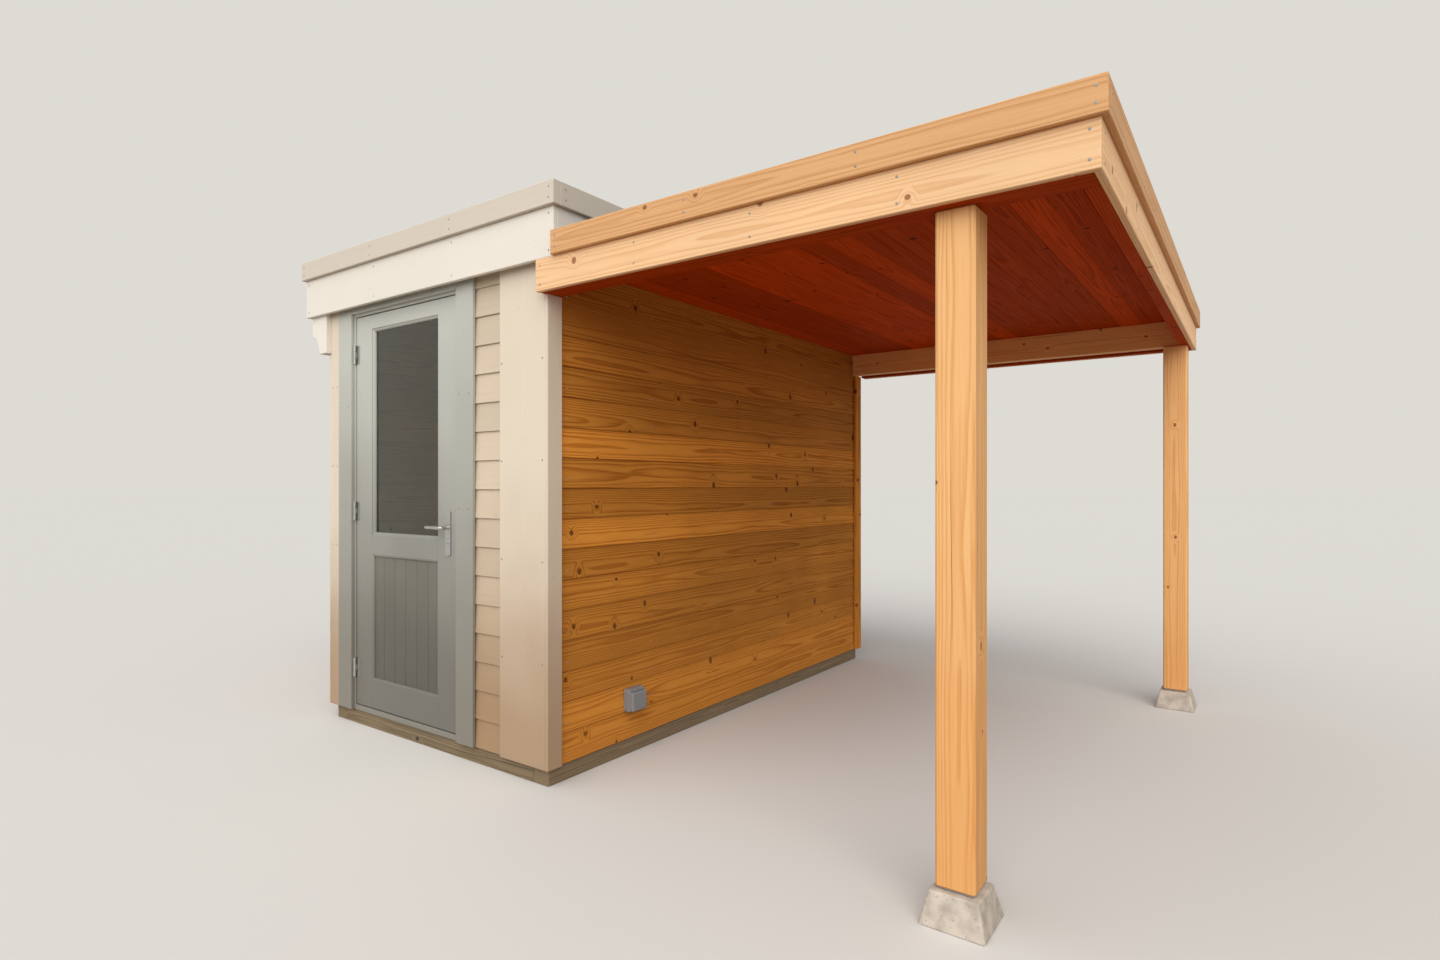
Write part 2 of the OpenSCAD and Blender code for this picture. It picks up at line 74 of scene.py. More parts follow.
# %% [markdown]
# ## Colours and nodes
# A colour is easiest to match as the sRGB value that a screen shows, but a shader works with
# linear light. One function turns the first into the second.
# Blender has a button for each kind of node; in a script one function is enough, which adds
# any node, sets its menu and fills its inputs. A node hides the sockets that its menu leaves
# unused, so only the shown ones are counted.

# %% Colour and node helpers
MENUS = {"Attribute": "attribute_name", "MapRange": "interpolation_type", "Math": "operation",
         "Mix": "data_type", "TexVoronoi": "voronoi_dimensions", "VectorMath": "operation"}
RAMP, BLEND, STRETCH = "MapRange SMOOTHSTEP", "Mix RGBA", "VectorMath MULTIPLY"
TIMES, TIMES_PLUS = "Math MULTIPLY", "Math MULTIPLY_ADD"


def linear(code):
    """The linear red, green, blue and alpha of an sRGB colour written as six hex digits.

    Up to 0.04045 a value is divided by 12.92. Above, 0.055 is added, the sum is divided by
    1.055 and raised to the power 2.4."""
    srgb = np.array([int(code[i:i + 2], 16) for i in (0, 2, 4)]) / 255
    light = np.where(srgb <= 0.04045, srgb / 12.92, ((srgb + 0.055) / 1.055) ** 2.4)
    return (*light.tolist(), 1.0)


def feed(node, inputs):
    """Fills a node's inputs, each found by its name or by its number among those shown.

    A socket is linked. A node stands for the first output that it shows, and text for a
    colour. Any other value is set."""
    shown = [socket for socket in node.inputs if socket.enabled]
    for key, value in inputs.items():
        socket = node.inputs[key] if isinstance(key, str) else shown[key]
        if isinstance(value, bpy.types.Node):
            value = next(output for output in value.outputs if output.enabled)
        if isinstance(value, bpy.types.NodeSocket):
            node.id_data.links.new(value, socket)
        else:
            socket.default_value = linear(value) if isinstance(value, str) else value


def add(tree, kind, *inputs, **named_inputs):
    """Adds a node. "Math ADD", for one, is a Math node whose menu says ADD."""
    kind, *choice = kind.split()
    node = tree.nodes.new("ShaderNode" + kind)
    if choice:
        setattr(node, MENUS[kind], choice[0])
    feed(node, {**dict(enumerate(inputs)), **named_inputs})
    return node


def new_material(name, colour, roughness, metallic=0.0):
    """A material with a Principled shader of one colour: the material itself, the function
    that adds nodes to it, and the shader."""
    material = bpy.data.materials.new(name)
    material.use_nodes = True
    tree = material.node_tree
    shader = tree.nodes["Principled BSDF"]
    feed(shader, {"Base Color": colour, "Roughness": roughness, "Metallic": metallic})
    return material, partial(add, tree), shader


print("cream e4dac8 in linear light:", [round(x, 3) for x in linear("e4dac8")])

# %% [markdown]
# ## Sawn timber
# A picture wrapped round a board would not meet at its edges, so wood's pattern is made in
# three dimensions. Each board carries a vector called grain: its place in the trunk, in
# metres, with X along the trunk. Growth rings are then the distance from the X axis, and end
# grain comes right by itself.
# Knots grow out from the heart, and the cracks of a drying beam point to it. Both lie in a
# pattern of the length along the trunk and the arc round it, with a share of its cells filled.

# %% Knots and drying cracks
KNOT_MM = 238.1              # from one place for a knot to the next
KNOTS = 0.45                 # the share of those places that have one
CRACK_MM = (769.2, 90.9, 1)  # room for a crack along the trunk and round it
CRACK_HALF = 0.012           # half a crack's width where it is widest, in cells


def per_metre(size_mm):
    """How many cells of a size fit in a metre, on each axis. It is a pattern's scale."""
    return tuple(1 / (np.broadcast_to(size_mm, 3) * MM))


def scattered(node, spot, size_mm, share):
    """Cells with something in a share of them: the place counted in cells, the pattern's
    outputs, a number drawn for each cell, and 1 where the cell is filled."""
    place = node(STRETCH, spot, per_metre(size_mm))
    cells = node("TexVoronoi 2D", place, Scale=1.0).outputs
    first, second, _ = node("SeparateColor", cells["Color"]).outputs
    return place, cells, second, node("Math LESS_THAN", first, share)


def knots_at(node, spot):
    """How far a place is inside a knot's whorl of bent rings, and its core, from 0 to 1."""
    _, cells, draw, present = scattered(node, spot, KNOT_MM, KNOTS)
    away = node("Math DIVIDE", cells["Distance"], node(RAMP, draw, 0.0, 1.0, 0.6, 1.25))
    return [node(TIMES, node(RAMP, away, *ends), present) for ends in ((0.2, 0.0), (0.06, 0.04))]


def drying_cracks(node, spot, share):
    """How open a crack is, from 0 to 1. It runs through the middle of a long narrow cell and
    grows narrower towards both ends."""
    place, cells, _, present = scattered(node, spot, CRACK_MM, share)
    off = node("VectorMath ABSOLUTE", node("VectorMath SUBTRACT", cells["Position"], place))
    x, y, _ = node("SeparateXYZ", off).outputs
    along = node(RAMP, x, 0.5, 0.15)
    across = node(RAMP, y, node(TIMES_PLUS, along, CRACK_HALF, 0.0005), 0.0)
    return node(TIMES, node(TIMES, across, along), present)


print("places for a knot along a metre:", round(per_metre(KNOT_MM)[0], 1))

# %% [markdown]
# A second attribute, tone, makes each board a little lighter or darker than its neighbours.
# Stains and paints lie over the wood and hide as much of it as their cover says.
# Real fibres are far thinner than a millimetre. They are drawn as streaks of 5 mm, because
# finer ones would not show in the render.

# %% The timber shader
BEND_MM = (1111, 142.9, 142.9)  # slow bends of the rings
BEND = (0, 0.03, 0.03)          # how far they bend, in metres
FIBRE_MM = (200, 4.76, 4.76)    # streaks of fibres
PATCH_MM = 588.2                # weathered patches on the whole house
HEART_STEP = 0.08               # the distance from the heart at which arcs are measured
WHORL = 0.014                   # how far a knot pushes the rings out, in metres
DARK = 0.85                     # how dark the middle of a knot or crack is
DIRT_AND_SHADE_FOOT = 0.15              # the height up to which the darker foot is densest, in metres
RAGGED = 0.7                    # how far the darker foot's edge goes up and down, in metres


def surface(node, shader, colour, height, relief_mm, fine, roughness, play):
    """Links colour, relief and gloss. Roughness plays about its value with a fine pattern."""
    if relief_mm:
        feed(shader, {"Normal": node("Bump", Height=height, Distance=relief_mm * MM)})
    gloss = node(RAMP, fine, 0.3, 0.7, roughness - play, roughness + play)
    feed(shader, {"Base Color": colour, "Roughness": gloss})


def timber(name, light, dark, knot, ring_mm=6.0, spread=0.22, roughness=0.62, relief_mm=0.5,
           sheen=0.35, coat=None, dirt_and_shade=None, cracks=0.0):
    """Timber from the colours of its early wood, late wood and knots.

    Ring: the distance from the heart, in ring widths; its fraction goes slowly from early to
    late wood and drops back at once. Fibre: noise drawn out along the trunk.
    coat is a colour and how much it covers. dirt_and_shade is the colour of a darker foot,
    how much of it lies at the foot, and the height where it ends, in metres. It is dirt on
    the oiled timbers, painted shade with some dirt on the cream ones, and painted shade on the
    grey ones."""
    material, node, shader = new_material(name, light, roughness)
    grain = node("Attribute grain").outputs["Vector"]
    tone = node("Attribute tone").outputs["Fac"]
    place = node("TexCoord").outputs["Object"]

    slow = node("TexNoise", node(STRETCH, grain, per_metre(BEND_MM)), Scale=1.0, Detail=2.0)
    swing = node("VectorMath SUBTRACT", slow.outputs["Color"], (0.5, 0.5, 0.5))
    bent = node("VectorMath MULTIPLY_ADD", swing, BEND, grain)
    x, y, z = node("SeparateXYZ", bent).outputs
    spot = node("CombineXYZ", x, node(TIMES, node("Math ARCTAN2", z, y), HEART_STEP))
    whorl, core = knots_at(node, spot)

    radius = node("VectorMath LENGTH", node("CombineXYZ", 0.0, y, z))
    swollen = node(TIMES_PLUS, whorl, WHORL, radius)
    phase = node("Math FRACT", node("Math DIVIDE", swollen, ring_mm * MM))
    late = node("Math SUBTRACT", node(RAMP, phase, 0.25, 0.9), node(RAMP, phase, 0.9, 1.0))
    fibre = node(STRETCH, grain, per_metre(FIBRE_MM))
    fibre = node("TexNoise", fibre, Scale=1.0, Detail=3.0, Roughness=0.6)

    share = node(TIMES_PLUS, late, 0.5, node(TIMES_PLUS, fibre, 0.9, -0.3))
    colour = node(BLEND, node(RAMP, share), light, dark)
    colour = node(BLEND, node(TIMES, core, DARK), colour, knot)
    if coat:
        colour = node(BLEND, coat[1], colour, coat[0])
    patches = node("TexNoise", place, Scale=per_metre(PATCH_MM)[0], Detail=2.0)
    level = node("Math ADD", tone, node(TIMES_PLUS, patches, 0.8, -0.4))
    shade = node(RAMP, level, 0.0, 1.0, 1 - spread, 1 + spread / 3)
    colour = node("VectorMath SCALE", colour, shade)
    # darker foot: dirt on oiled timbers, painted shadow and dirt on cream, painted shade on grey
    if dirt_and_shade:
        foot_colour, amount, top = dirt_and_shade
        height = node("Math ADD", node("SeparateXYZ", place).outputs["Z"], -RAGGED / 2)
        ragged = node(TIMES_PLUS, patches, RAGGED, height)
        darker_foot = node(TIMES, node(RAMP, ragged, top, DIRT_AND_SHADE_FOOT), amount)
        colour = node(BLEND, darker_foot, colour, foot_colour)
    relief = node(TIMES_PLUS, late, 0.5, fibre)
    if cracks:
        opened = drying_cracks(node, spot, cracks)
        colour = node(BLEND, node(TIMES, opened, DARK), colour, knot)
        relief = node(TIMES_PLUS, opened, -3.0, relief)
    surface(node, shader, colour, relief, relief_mm, fibre, roughness, 0.08)
    feed(shader, {"Specular IOR Level": sheen})
    return material


print("streaks of fibre across a metre:", round(per_metre(FIBRE_MM)[1]))

# %% [markdown]
# ## Oiled, stained and painted timber
# Oil soaks in and leaves the grain open: deep orange, matt, no two boards alike. Cream stain
# hides most of the grain. Joinery paint hides nearly all of it, and is smooth and shines.
# Pressure treated timber is rough from the saw, brown and dull.
# Walls, posts and door darken towards the foot. On the oiled timbers that is dirt thrown up
# by rain; on the cream boards it is a painted shadow with some dirt; on the grey paint painted
# shade.

# %% The timbers
DIRT_AND_SHADE_TOP = 1.35   # the height where the darker foot of walls and posts ends, in metres
OILED = dict(ring_mm=7.0, spread=0.1, relief_mm=0.4)
CREAM = dict(spread=0.06, relief_mm=0.25)
PAINTED = dict(spread=0.05, roughness=0.42, relief_mm=0.15, sheen=0.5)
honey_boards = timber("honey_oiled_larch_boards", "e69b40", "b0641c", "5a2c10", spread=0.3,
                      roughness=0.72, sheen=0.1, dirt_and_shade=("96602c", 0.3, DIRT_AND_SHADE_TOP))
orange_beams = timber("orange_oiled_planed_timber", "fcc686", "e6a158", "8a4a20", **OILED,
                      dirt_and_shade=("d88c42", 0.4, DIRT_AND_SHADE_TOP), cracks=0.75)
fascia_boards = timber("orange_oiled_fascia_boards", "fbd0a0", "e8b17b", "9a5a2c", **OILED)
roof_trim = timber("orange_oiled_roof_trim", "deac78", "c68d56", "8a4a20", **OILED)
# The ceiling's deep red is partly a stain and partly painted shade: under the canopy the posts'
# oiled wood looks this red.
red_stain_and_shade = timber("oiled_red_stain_and_painted_shade", "d4500a", "a43604", "4a1a04",
                        ring_mm=5.0, spread=0.25, roughness=0.75, sheen=0.05)
pale_boards = timber("bare_planed_spruce", "c8a574", "a07c4c", "6a4424", spread=0.18)
treated_beams = timber("pressure_treated_sawn_timber", "8f7d62", "6c5c46", "3c3224", spread=0.2,
                       roughness=0.8, relief_mm=0.9, cracks=0.8)
# The cream boards' darker foot is a painted shadow with some dirt. The cladding's coat is a tone
# darker than the corner boards': painted shade where it lies back between casing and corner.
cream_boards = timber("cream_stained_cladding", "c8a878", "a5804f", "7a5430", spread=0.08,
                      relief_mm=0.35, coat=("d8cab6", 0.86), dirt_and_shade=("9f7f5c", 0.9, DIRT_AND_SHADE_TOP))
cream_corners = timber("cream_stained_corner_boards", "c8a878", "a5804f", "8a6a48", spread=0.06,
                       relief_mm=0.3, coat=("e5dac9", 0.9), dirt_and_shade=("a98b6d", 0.9, DIRT_AND_SHADE_TOP))
cream_fascia = timber("cream_painted_fascia_boards", "d8c8a8", "b8a078", "a08868", **CREAM,
                      coat=("ece7de", 0.93))
cream_trim = timber("cream_painted_roof_trim", "c8b898", "a89070", "907858", **CREAM,
                    coat=("d8cfc2", 0.93))
# The grey joinery, door leaf and panel darken towards the foot: painted shade.
grey_paint = timber("grey_painted_joinery", "a8a498", "8c887c", "7c786c", **PAINTED,
                    coat=("c7cac3", 0.93), dirt_and_shade=("7a756b", 0.9, 2.5))
leaf_paint = timber("grey_painted_door_leaf", "a8a498", "8c887c", "7c786c", **PAINTED,
                    coat=("c4c7bf", 0.93), dirt_and_shade=("625f57", 0.9, 2.3))
dark_paint = timber("dark_grey_painted_panel", "7c7a70", "64625a", "5c5a52", **PAINTED,
                    coat=("78756a", 0.93), dirt_and_shade=("524f48", 0.9, 1.2))
print(len(bpy.data.materials), "timber materials")

# %% [markdown]
# ## Metal, glass, rubber, plastic and concrete
# Brushed stainless steel has fine parallel scratches, so its roughness varies in thin lines.
# Hot-dip zinc is duller and shows its crystals. Float glass is clear, with a green tint, and
# lets the dark room show. Rubber roofing is matt and a little uneven, moulded plastic has a
# fine grain, and cast concrete has pores where air bubbles met the mould.
# Scratches, grain and pores are drawn several times coarser than they are, so that they show.

# %% Shaders of the other materials
def patterned(name, light, dark, roughness, size_mm, metallic=0.0, relief_mm=0.0, pore_mm=None):
    """Two colours mixed by noise of one size, or of one on each axis. It is the relief as well.
    Pores are the middles of a cell pattern, sunk into the relief and darkened."""
    material, node, shader = new_material(name, light, roughness, metallic)
    place = node("TexCoord").outputs["Object"]
    scaled = node(STRETCH, place, per_metre(size_mm))
    noise = height = node("TexNoise", scaled, Scale=1.0, Detail=4.0)
    colour = node(BLEND, node(RAMP, noise, 0.3, 0.7), light, dark)
    if pore_mm:
        holes = node("TexVoronoi 3D", place, Scale=per_metre(pore_mm)[0])
        depth = node(RAMP, holes, 0.22, 0.1)
        colour = node(BLEND, node(TIMES, depth, 0.45), colour, dark)
        height = node("Math SUBTRACT", noise, depth)
    surface(node, shader, colour, height, relief_mm, noise, roughness, 0.06)
    return material


brushed_steel = patterned("brushed_stainless_steel", "c9c9c6", "b2b2b0", 0.32,
                          (16.67, 16.67, 1.19), metallic=1.0, relief_mm=0.02)
zinc_steel = patterned("hot_dip_galvanised_steel", "b4b8ba", "979c9f", 0.5, 11.11, metallic=1.0)
concrete = patterned("cast_concrete", "cfc4b6", "aea498", 0.85, 45.45, relief_mm=1.2,
                     pore_mm=14.29)
roofing = patterned("rubber_roofing_sheet", "313337", "2a2c2f", 0.72, 200, relief_mm=1.5)
grey_plastic = patterned("moulded_grey_plastic", "8b8d90", "7f8184", 0.45, 4.167, relief_mm=0.05)
black_rubber = patterned("extruded_rubber_seal", "1c1c1c", "262626", 0.6, 8.333)
dark_hole = patterned("shadow_in_a_keyway", "0a0a0a", "101010", 0.8, 20)

glass, _, glass_shader = new_material("clear_float_glass", "cbcfb2", 0.02)
feed(glass_shader, {"Transmission Weight": 1.0, "IOR": 1.52})
print(len(bpy.data.materials), "materials in all")

# %% [markdown]
# ## Meshes from whole arrays
# A shape is kept as its points, its faces and what each point carries along. Points come from
# formulas on whole arrays, which is fast and leaves no vertex placed by hand.
# A face must look outwards, or light and export go wrong. Each shape is tested for that: the
# volume of a closed mesh is positive only if its faces look out.


def solid_volume(points, faces):
    """The sum of p0 . (p1 x p2) / 6 over each face's fan of triangles."""
    total = 0.0
    for rows in faces:
        for k in range(1, rows.shape[1] - 1):
            a, b, c = points[rows[:, 0]], points[rows[:, k]], points[rows[:, k + 1]]
            total += np.einsum("ij,ij->", a, np.cross(b, c))
    return total / 6


def shape(points, faces, grain=None, tone=None):
    """A shape with its faces turned outwards. Grain is its own place if nothing else says."""
    points = np.asarray(points, float).reshape(-1, 3)
    if solid_volume(points - points.mean(0), faces) < 0:
        faces = [rows[:, ::-1] for rows in faces]
    grain = points if grain is None else grain.reshape(-1, 3)
    tone = np.full(len(points), 0.5) if tone is None else tone
    return {"points": points, "faces": faces, "grain": grain, "tone": tone}


def joined(*shapes):
    """Several shapes as one, each one's face numbers moved past the points before it."""
    starts = np.cumsum([0] + [len(s["points"]) for s in shapes])
    rows = [face + start for s, start in zip(shapes, starts) for face in s["faces"]]
    one = {key: np.concatenate([s[key] for s in shapes]) for key in ("points", "grain", "tone")}
    return {**one, "faces": rows}


def piece(name, made, material, node=None, body="house", smooth=False):
    """Puts a shape into a mesh, and the mesh on the body that it moves with. It may stand for
    a CAD node, which is then hidden."""
    corners = np.concatenate([rows.ravel() for rows in made["faces"]])
    counts = np.concatenate([np.full(len(rows), rows.shape[1]) for rows in made["faces"]])
    mesh = bpy.data.meshes.new(name)
    mesh.vertices.add(len(made["points"]))
    mesh.vertices.foreach_set("co", made["points"].ravel())
    mesh.loops.add(len(corners))
    mesh.loops.foreach_set("vertex_index", corners)
    mesh.polygons.add(len(counts))
    mesh.polygons.foreach_set("loop_start", np.cumsum(counts) - counts)
    mesh.polygons.foreach_set("use_smooth", np.full(len(counts), smooth))
    mesh.update(calc_edges=True)
    for key, kind, field in (("grain", "FLOAT_VECTOR", "vector"), ("tone", "FLOAT", "value")):
        mesh.attributes.new(key, kind, "POINT").data.foreach_set(field, made[key].ravel())
    mesh.materials.append(material)
    thing = bpy.data.objects.new(name, mesh)
    bpy.context.scene.collection.objects.link(thing)
    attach(thing, body)
    if node:
        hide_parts(node)
    print(f"{name}: {len(mesh.vertices)} points, {len(mesh.polygons)} faces")
    return thing


# %% [markdown]
# ## Reading the solids
# A CAD node may hold several boards that don't touch. To give each its own soft edges and
# grain, the node's mesh is split into its solids. An operator could separate loose parts, but
# it would change the frame's meshes. Letting every triangle share the lowest number of its
# points does it on arrays alone.

# %% Split a node into its solids
HEAD_RISE = 1.2 * MM   # how far a screw head stands out of a board


def span(node):
    """A node's lowest and highest corner."""
    return np.array(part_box(node))


def solids(node):
    """The lowest and highest corner of each of a node's separate solids.

    Every triangle gives its lowest corner number to all three corners, again and again until
    nothing changes. Each solid is then left with one number.
    The outermost boards end a screw head's height inside the house's box."""
    mesh = frame["nodes"][node].data
    places = np.empty(3 * len(mesh.vertices))
    mesh.vertices.foreach_get("co", places)
    corners = np.empty(len(mesh.loops), int)
    mesh.loops.foreach_get("vertex_index", corners)
    points, first = np.unique(places.reshape(-1, 3).round(5), axis=0, return_inverse=True)
    triangles = first.ravel()[corners].reshape(-1, 3)
    number, shared = None, np.arange(len(points))
    while not np.array_equal(number, shared):
        number = shared.copy()
        np.minimum.at(shared, triangles, number[triangles].min(1)[:, None])
    groups = [points[number == n] for n in np.unique(number)]
    room = np.array([HEAD_RISE, HEAD_RISE, 0])
    boards = np.array([[group.min(0), group.max(0)] for group in groups])
    return boards.clip(np.array(cad_low) + room, np.array(cad_high) - room)


print("the room's fascia has", len(solids("room_fascia")), "boards")

# %% [markdown]
# ## Boards with soft edges
# No planed board has a sharp edge: it is broken by a millimetre or two, and that thin strip
# catches the light. A Bevel modifier could do it, but hundreds of boards are cheaper as one
# formula: a box whose corners have three points each, one on every face that meets there.

# %% Boxes with chamfered edges
SIGNS = np.array(list(itertools.product((-1, 1), repeat=3))).repeat(3, axis=0)
FLAT = np.tile(np.eye(3, dtype=bool), (8, 1))
HEART_OUT = (0.05, 0.11)   # how far from the heart boards are sawn, in metres


def box_faces():
    """The 6 sides, 12 edge strips and 8 corners of a chamfered box, all looking outwards.

    Each looks one of the 26 ways to a side, an edge or a corner. It joins the points that lie
    furthest that way, in the order of their angle round it."""
    unit = SIGNS * np.where(FLAT, 1.0, 0.8)
    faces = {4: [], 3: []}
    for way in filter(any, itertools.product((-1, 0, 1), repeat=3)):
        reach = unit @ way
        rows = np.flatnonzero(reach > reach.max() - 0.1)
        off = unit[rows] - unit[rows].mean(0)
        angle = np.arctan2(off @ np.cross(way, off[0]), off @ off[0] * np.linalg.norm(way))
        faces[len(rows)].append(rows[np.argsort(angle)])
    return [np.array(rows) for rows in faces.values()]


def copies(faces, points, count):
    """The faces of a shape of so many points, numbered for each of its copies."""
    step = (points * np.arange(count))[:, None, None]
    return [(rows + step).reshape(-1, rows.shape[1]) for rows in faces]


def trunk_places(local, order, seed, heart):
    """Grain and tone for boards. local holds each board's points about its own middle.

    The longest side lies along the trunk. Each board is then moved to a place of its own in
    the trunk: anywhere along it, and between heart[0] and heart[1] metres out from the heart."""
    draw = np.random.default_rng(seed)
    count = len(local)
    turned = np.take_along_axis(local, order[:, None, :].repeat(local.shape[1], 1), axis=2)
    out = draw.uniform(*heart, count) * draw.choice([-1, 1], count)
    shift = np.stack([draw.uniform(0, 20, count), draw.uniform(-0.03, 0.03, count), out], 1)
    tone = draw.uniform(0, 1, count).repeat(local.shape[1])
    return turned + shift[:, None], tone


def bars(boards, edge_mm, seed, heart=HEART_OUT):
    """Boards or beams as boxes with chamfered edges, from their low and high corners.

    A point is the middle plus or minus half the size, less the chamfer on the two axes whose
    face it isn't on."""
    low, high = np.swapaxes(boards, 0, 1)
    middle, half = (low + high) / 2, (high - low) / 2
    local = SIGNS * np.where(FLAT, half[:, None], half[:, None] - edge_mm * MM)
    order = np.argsort(-half, axis=1, kind="stable")
    grain, tone = trunk_places(local, order, seed, heart)
    return shape(middle[:, None] + local, copies(box_faces(), len(SIGNS), len(low)), grain, tone)


def cut(slab, width):
    """Cuts one slab across X into equal boards, about as wide as asked."""
    left, right = slab[:, 0]
    count = round((right - left) / width)
    marks = np.linspace(left, right, count + 1)
    boards = np.tile(slab, (count, 1, 1))
    boards[:, 0, 0], boards[:, 1, 0] = marks[:-1], marks[1:]
    return boards


print("a chamfered box has", sum(len(rows) for rows in box_faces()), "faces")

# %% [markdown]
# ## Wall boards
# The walls are clad with lying boards that taper towards their top. Each one's thick lower
# edge covers the tongue of the board under it, so that rain runs off, and throws a thin line
# of shadow. Its section is drawn once, as nine points, and carried along the wall.

# %% Carry an outline along a straight line
FRONT, BACK, LEFT, RIGHT, UP = np.array([[0.0, -1, 0], [0, 1, 0], [-1, 0, 0], [1, 0, 0],
                                         [0, 0, 1]])


def strips(near, far):
    """The faces between rings of point numbers, each with four corners."""
    sides = [near, np.roll(near, -1, axis=1), np.roll(far, -1, axis=1), far]
    return np.stack(sides, -1).reshape(-1, 4)


def swept(outlines, starts, ends, across, out, seed, trunk=(0, 1, 2)):
    """Bars of any section. A point is the bar's start or end, plus its outline's first number
    times the direction across, plus the second times the direction out. The trunk runs along
    the bar, or along the first axis in trunk: 0 the bar, 1 across, 2 out."""
    outlines = np.broadcast_to(outlines, (len(starts), *np.shape(outlines)[-2:]))
    count, corners = outlines.shape[:2]
    flat = outlines[..., :1] * across + outlines[..., 1:] * out
    points = np.stack([starts[:, None] + flat, ends[:, None] + flat], 1)
    number = np.arange(count * 2 * corners).reshape(count, 2, corners)
    near, far = number[:, 0], number[:, 1]
    local = np.zeros((count, 2, corners, 3))
    local[:, 1, :, 0] = np.linalg.norm(ends - starts, axis=1)[:, None]
    local[..., 1:] = (outlines - outlines.mean(1, keepdims=True))[:, None]
    grain, tone = trunk_places(local.reshape(count, -1, 3), np.tile(trunk, (count, 1)), seed,
                               HEART_OUT)
    return shape(points, [strips(near, far), np.concatenate([near[:, ::-1], far])], grain, tone)


BOARD_COVER = 0.134   # how much of each wall board shows
LAP = 8 * MM          # how far a board's tongue reaches under the next
TAPER = 8.5 * MM      # how much thinner a board is at its top
TONGUE = 9 * MM       # thickness of the tongue
PLAY = 1 * MM         # gap between boards


def board_rows(wall):
    """A wall's height is shared by a whole number of boards: that number and one's share."""
    height = wall[1, 2] - wall[0, 2]
    count = round(height / BOARD_COVER)
    return count, height / count


def cladding(node, outward, seed):
    """The boards of one wall, seen from where outward points. The top one has no tongue."""
    low, high = wall = span(node)
    count, cover = board_rows(wall)
    thick = min((high - low)[:2])
    outline = np.array([
        [LAP, 0], [LAP, TONGUE + PLAY / 2], [0, TONGUE + PLAY / 2], [0, thick - 1.5 * PLAY],
        [1.5 * PLAY, thick], [cover - PLAY, thick - TAPER], [cover - PLAY, TONGUE],
        [cover + LAP - PLAY, TONGUE], [cover + LAP - PLAY, 0],
    ])
    outlines = np.tile(outline, (count, 1, 1))
    outlines[-1, :, 0] = outlines[-1, :, 0].clip(max=cover)
    starts = np.where(outward < 0, high, low) + cover * np.arange(count)[:, None] * UP
    ends = np.where((outward == 0) & (UP == 0), high, starts)
    return swept(outlines, starts, ends, UP, outward, seed)


walls = [("front_cladding_left", "front_wall_left", FRONT, cream_boards),
         ("front_cladding_right", "front_wall_right", FRONT, cream_boards),
         ("front_cladding_over_door", "front_wall_over_door", FRONT, cream_boards),
         ("left_wall_cladding", "left_wall", LEFT, honey_boards),
         ("canopy_side_cladding", "canopy_side_wall", RIGHT, honey_boards),
         ("back_wall_cladding", "back_wall", BACK, honey_boards)]
for seed, (name, node, outward, material) in enumerate(walls, 11):
    piece(name, cladding(node, outward, seed), material, node)

# %% [markdown]
# ## Frame, floor and roof timbers
# Studs, plates, rafters and joists are planed timber with broken edges, and stay bare. Floor,
# ceiling and roof boards lie edge to edge, and their chamfers meet in a small V that hides the
# joint. Posts and thick beams are sawn round the heart of the tree, so their rings start close
# to the middle of the section.

# %% Structural timbers
FINE, PLANED, THICK, SAWN, POST = 1.5, 2, 3, 4, 6   # widths of broken edges, in millimetres
HEART_IN = (0.004, 0.02)   # how far the heart lies from the middle of a post, in metres
PLANK, ROOF_PLANK = 0.118, 0.14


def dressed(name, node, material, edge_mm, seed, heart=HEART_OUT):
    """Every solid of a CAD node as a board or beam with soft edges."""
    piece(name, bars(solids(node), edge_mm, seed, heart), material, node)


def laid(name, node, width, material, edge_mm, seed):
    """A slab of the frame as separate boards that lie edge to edge."""
    piece(name, bars(cut(span(node), width), edge_mm, seed), material, node)


dressed("studs", "wall_studs", pale_boards, PLANED, 21)
dressed("sole_and_head_plates", "wall_plates", pale_boards, PLANED, 22)
dressed("rafters", "room_rafters", pale_boards, PLANED, 23)
dressed("ground_beams", "base_frame", treated_beams, SAWN, 24, HEART_IN)
# The front beam and edge beams share the ceiling's red, partly stain and partly painted shade.
dressed("front_beam", "canopy_front_beam", red_stain_and_shade, THICK, 25, HEART_IN)
dressed("rear_beam", "canopy_rear_beam", orange_beams, THICK, 26)
dressed("edge_beams", "canopy_rim", red_stain_and_shade, PLANED, 27)
dressed("flat_joists", "canopy_joists", orange_beams, PLANED, 28)
dressed("front_square_post", "front_post", orange_beams, POST, 29, HEART_IN)
dressed("rear_square_post", "rear_post", orange_beams, POST, 30, HEART_IN)
laid("floor_planks", "floor_boards", PLANK, pale_boards, FINE, 31)
laid("ceiling_planks", "canopy_ceiling", PLANK, red_stain_and_shade, THICK, 32)
laid("room_roof_planks", "room_roof_deck", ROOF_PLANK, pale_boards, THICK, 33)
laid("canopy_roof_planks", "canopy_roof_deck", ROOF_PLANK, pale_boards, THICK, 34)

# %% [markdown]
# ## Fascias, trims, casings and corner boards
# These are single wide boards, planed and stained before they are screwed on. The corner
# boards cover the cut ends of the wall boards, and meet in an edge joint.

# %% Outer boards
TRIM = 2.5   # width of their broken edges, in millimetres
dressed("room_fascia_boards", "room_fascia", cream_fascia, TRIM, 41)
dressed("room_roof_trim", "room_trim", cream_trim, TRIM, 42)
dressed("soffit_boards", "room_soffit", cream_fascia, FINE, 43)
dressed("canopy_fascia_boards", "canopy_fascia", fascia_boards, TRIM, 44)
dressed("canopy_roof_trim", "canopy_trim", roof_trim, TRIM, 45)
dressed("casing_boards", "door_casing", grey_paint, TRIM, 46)

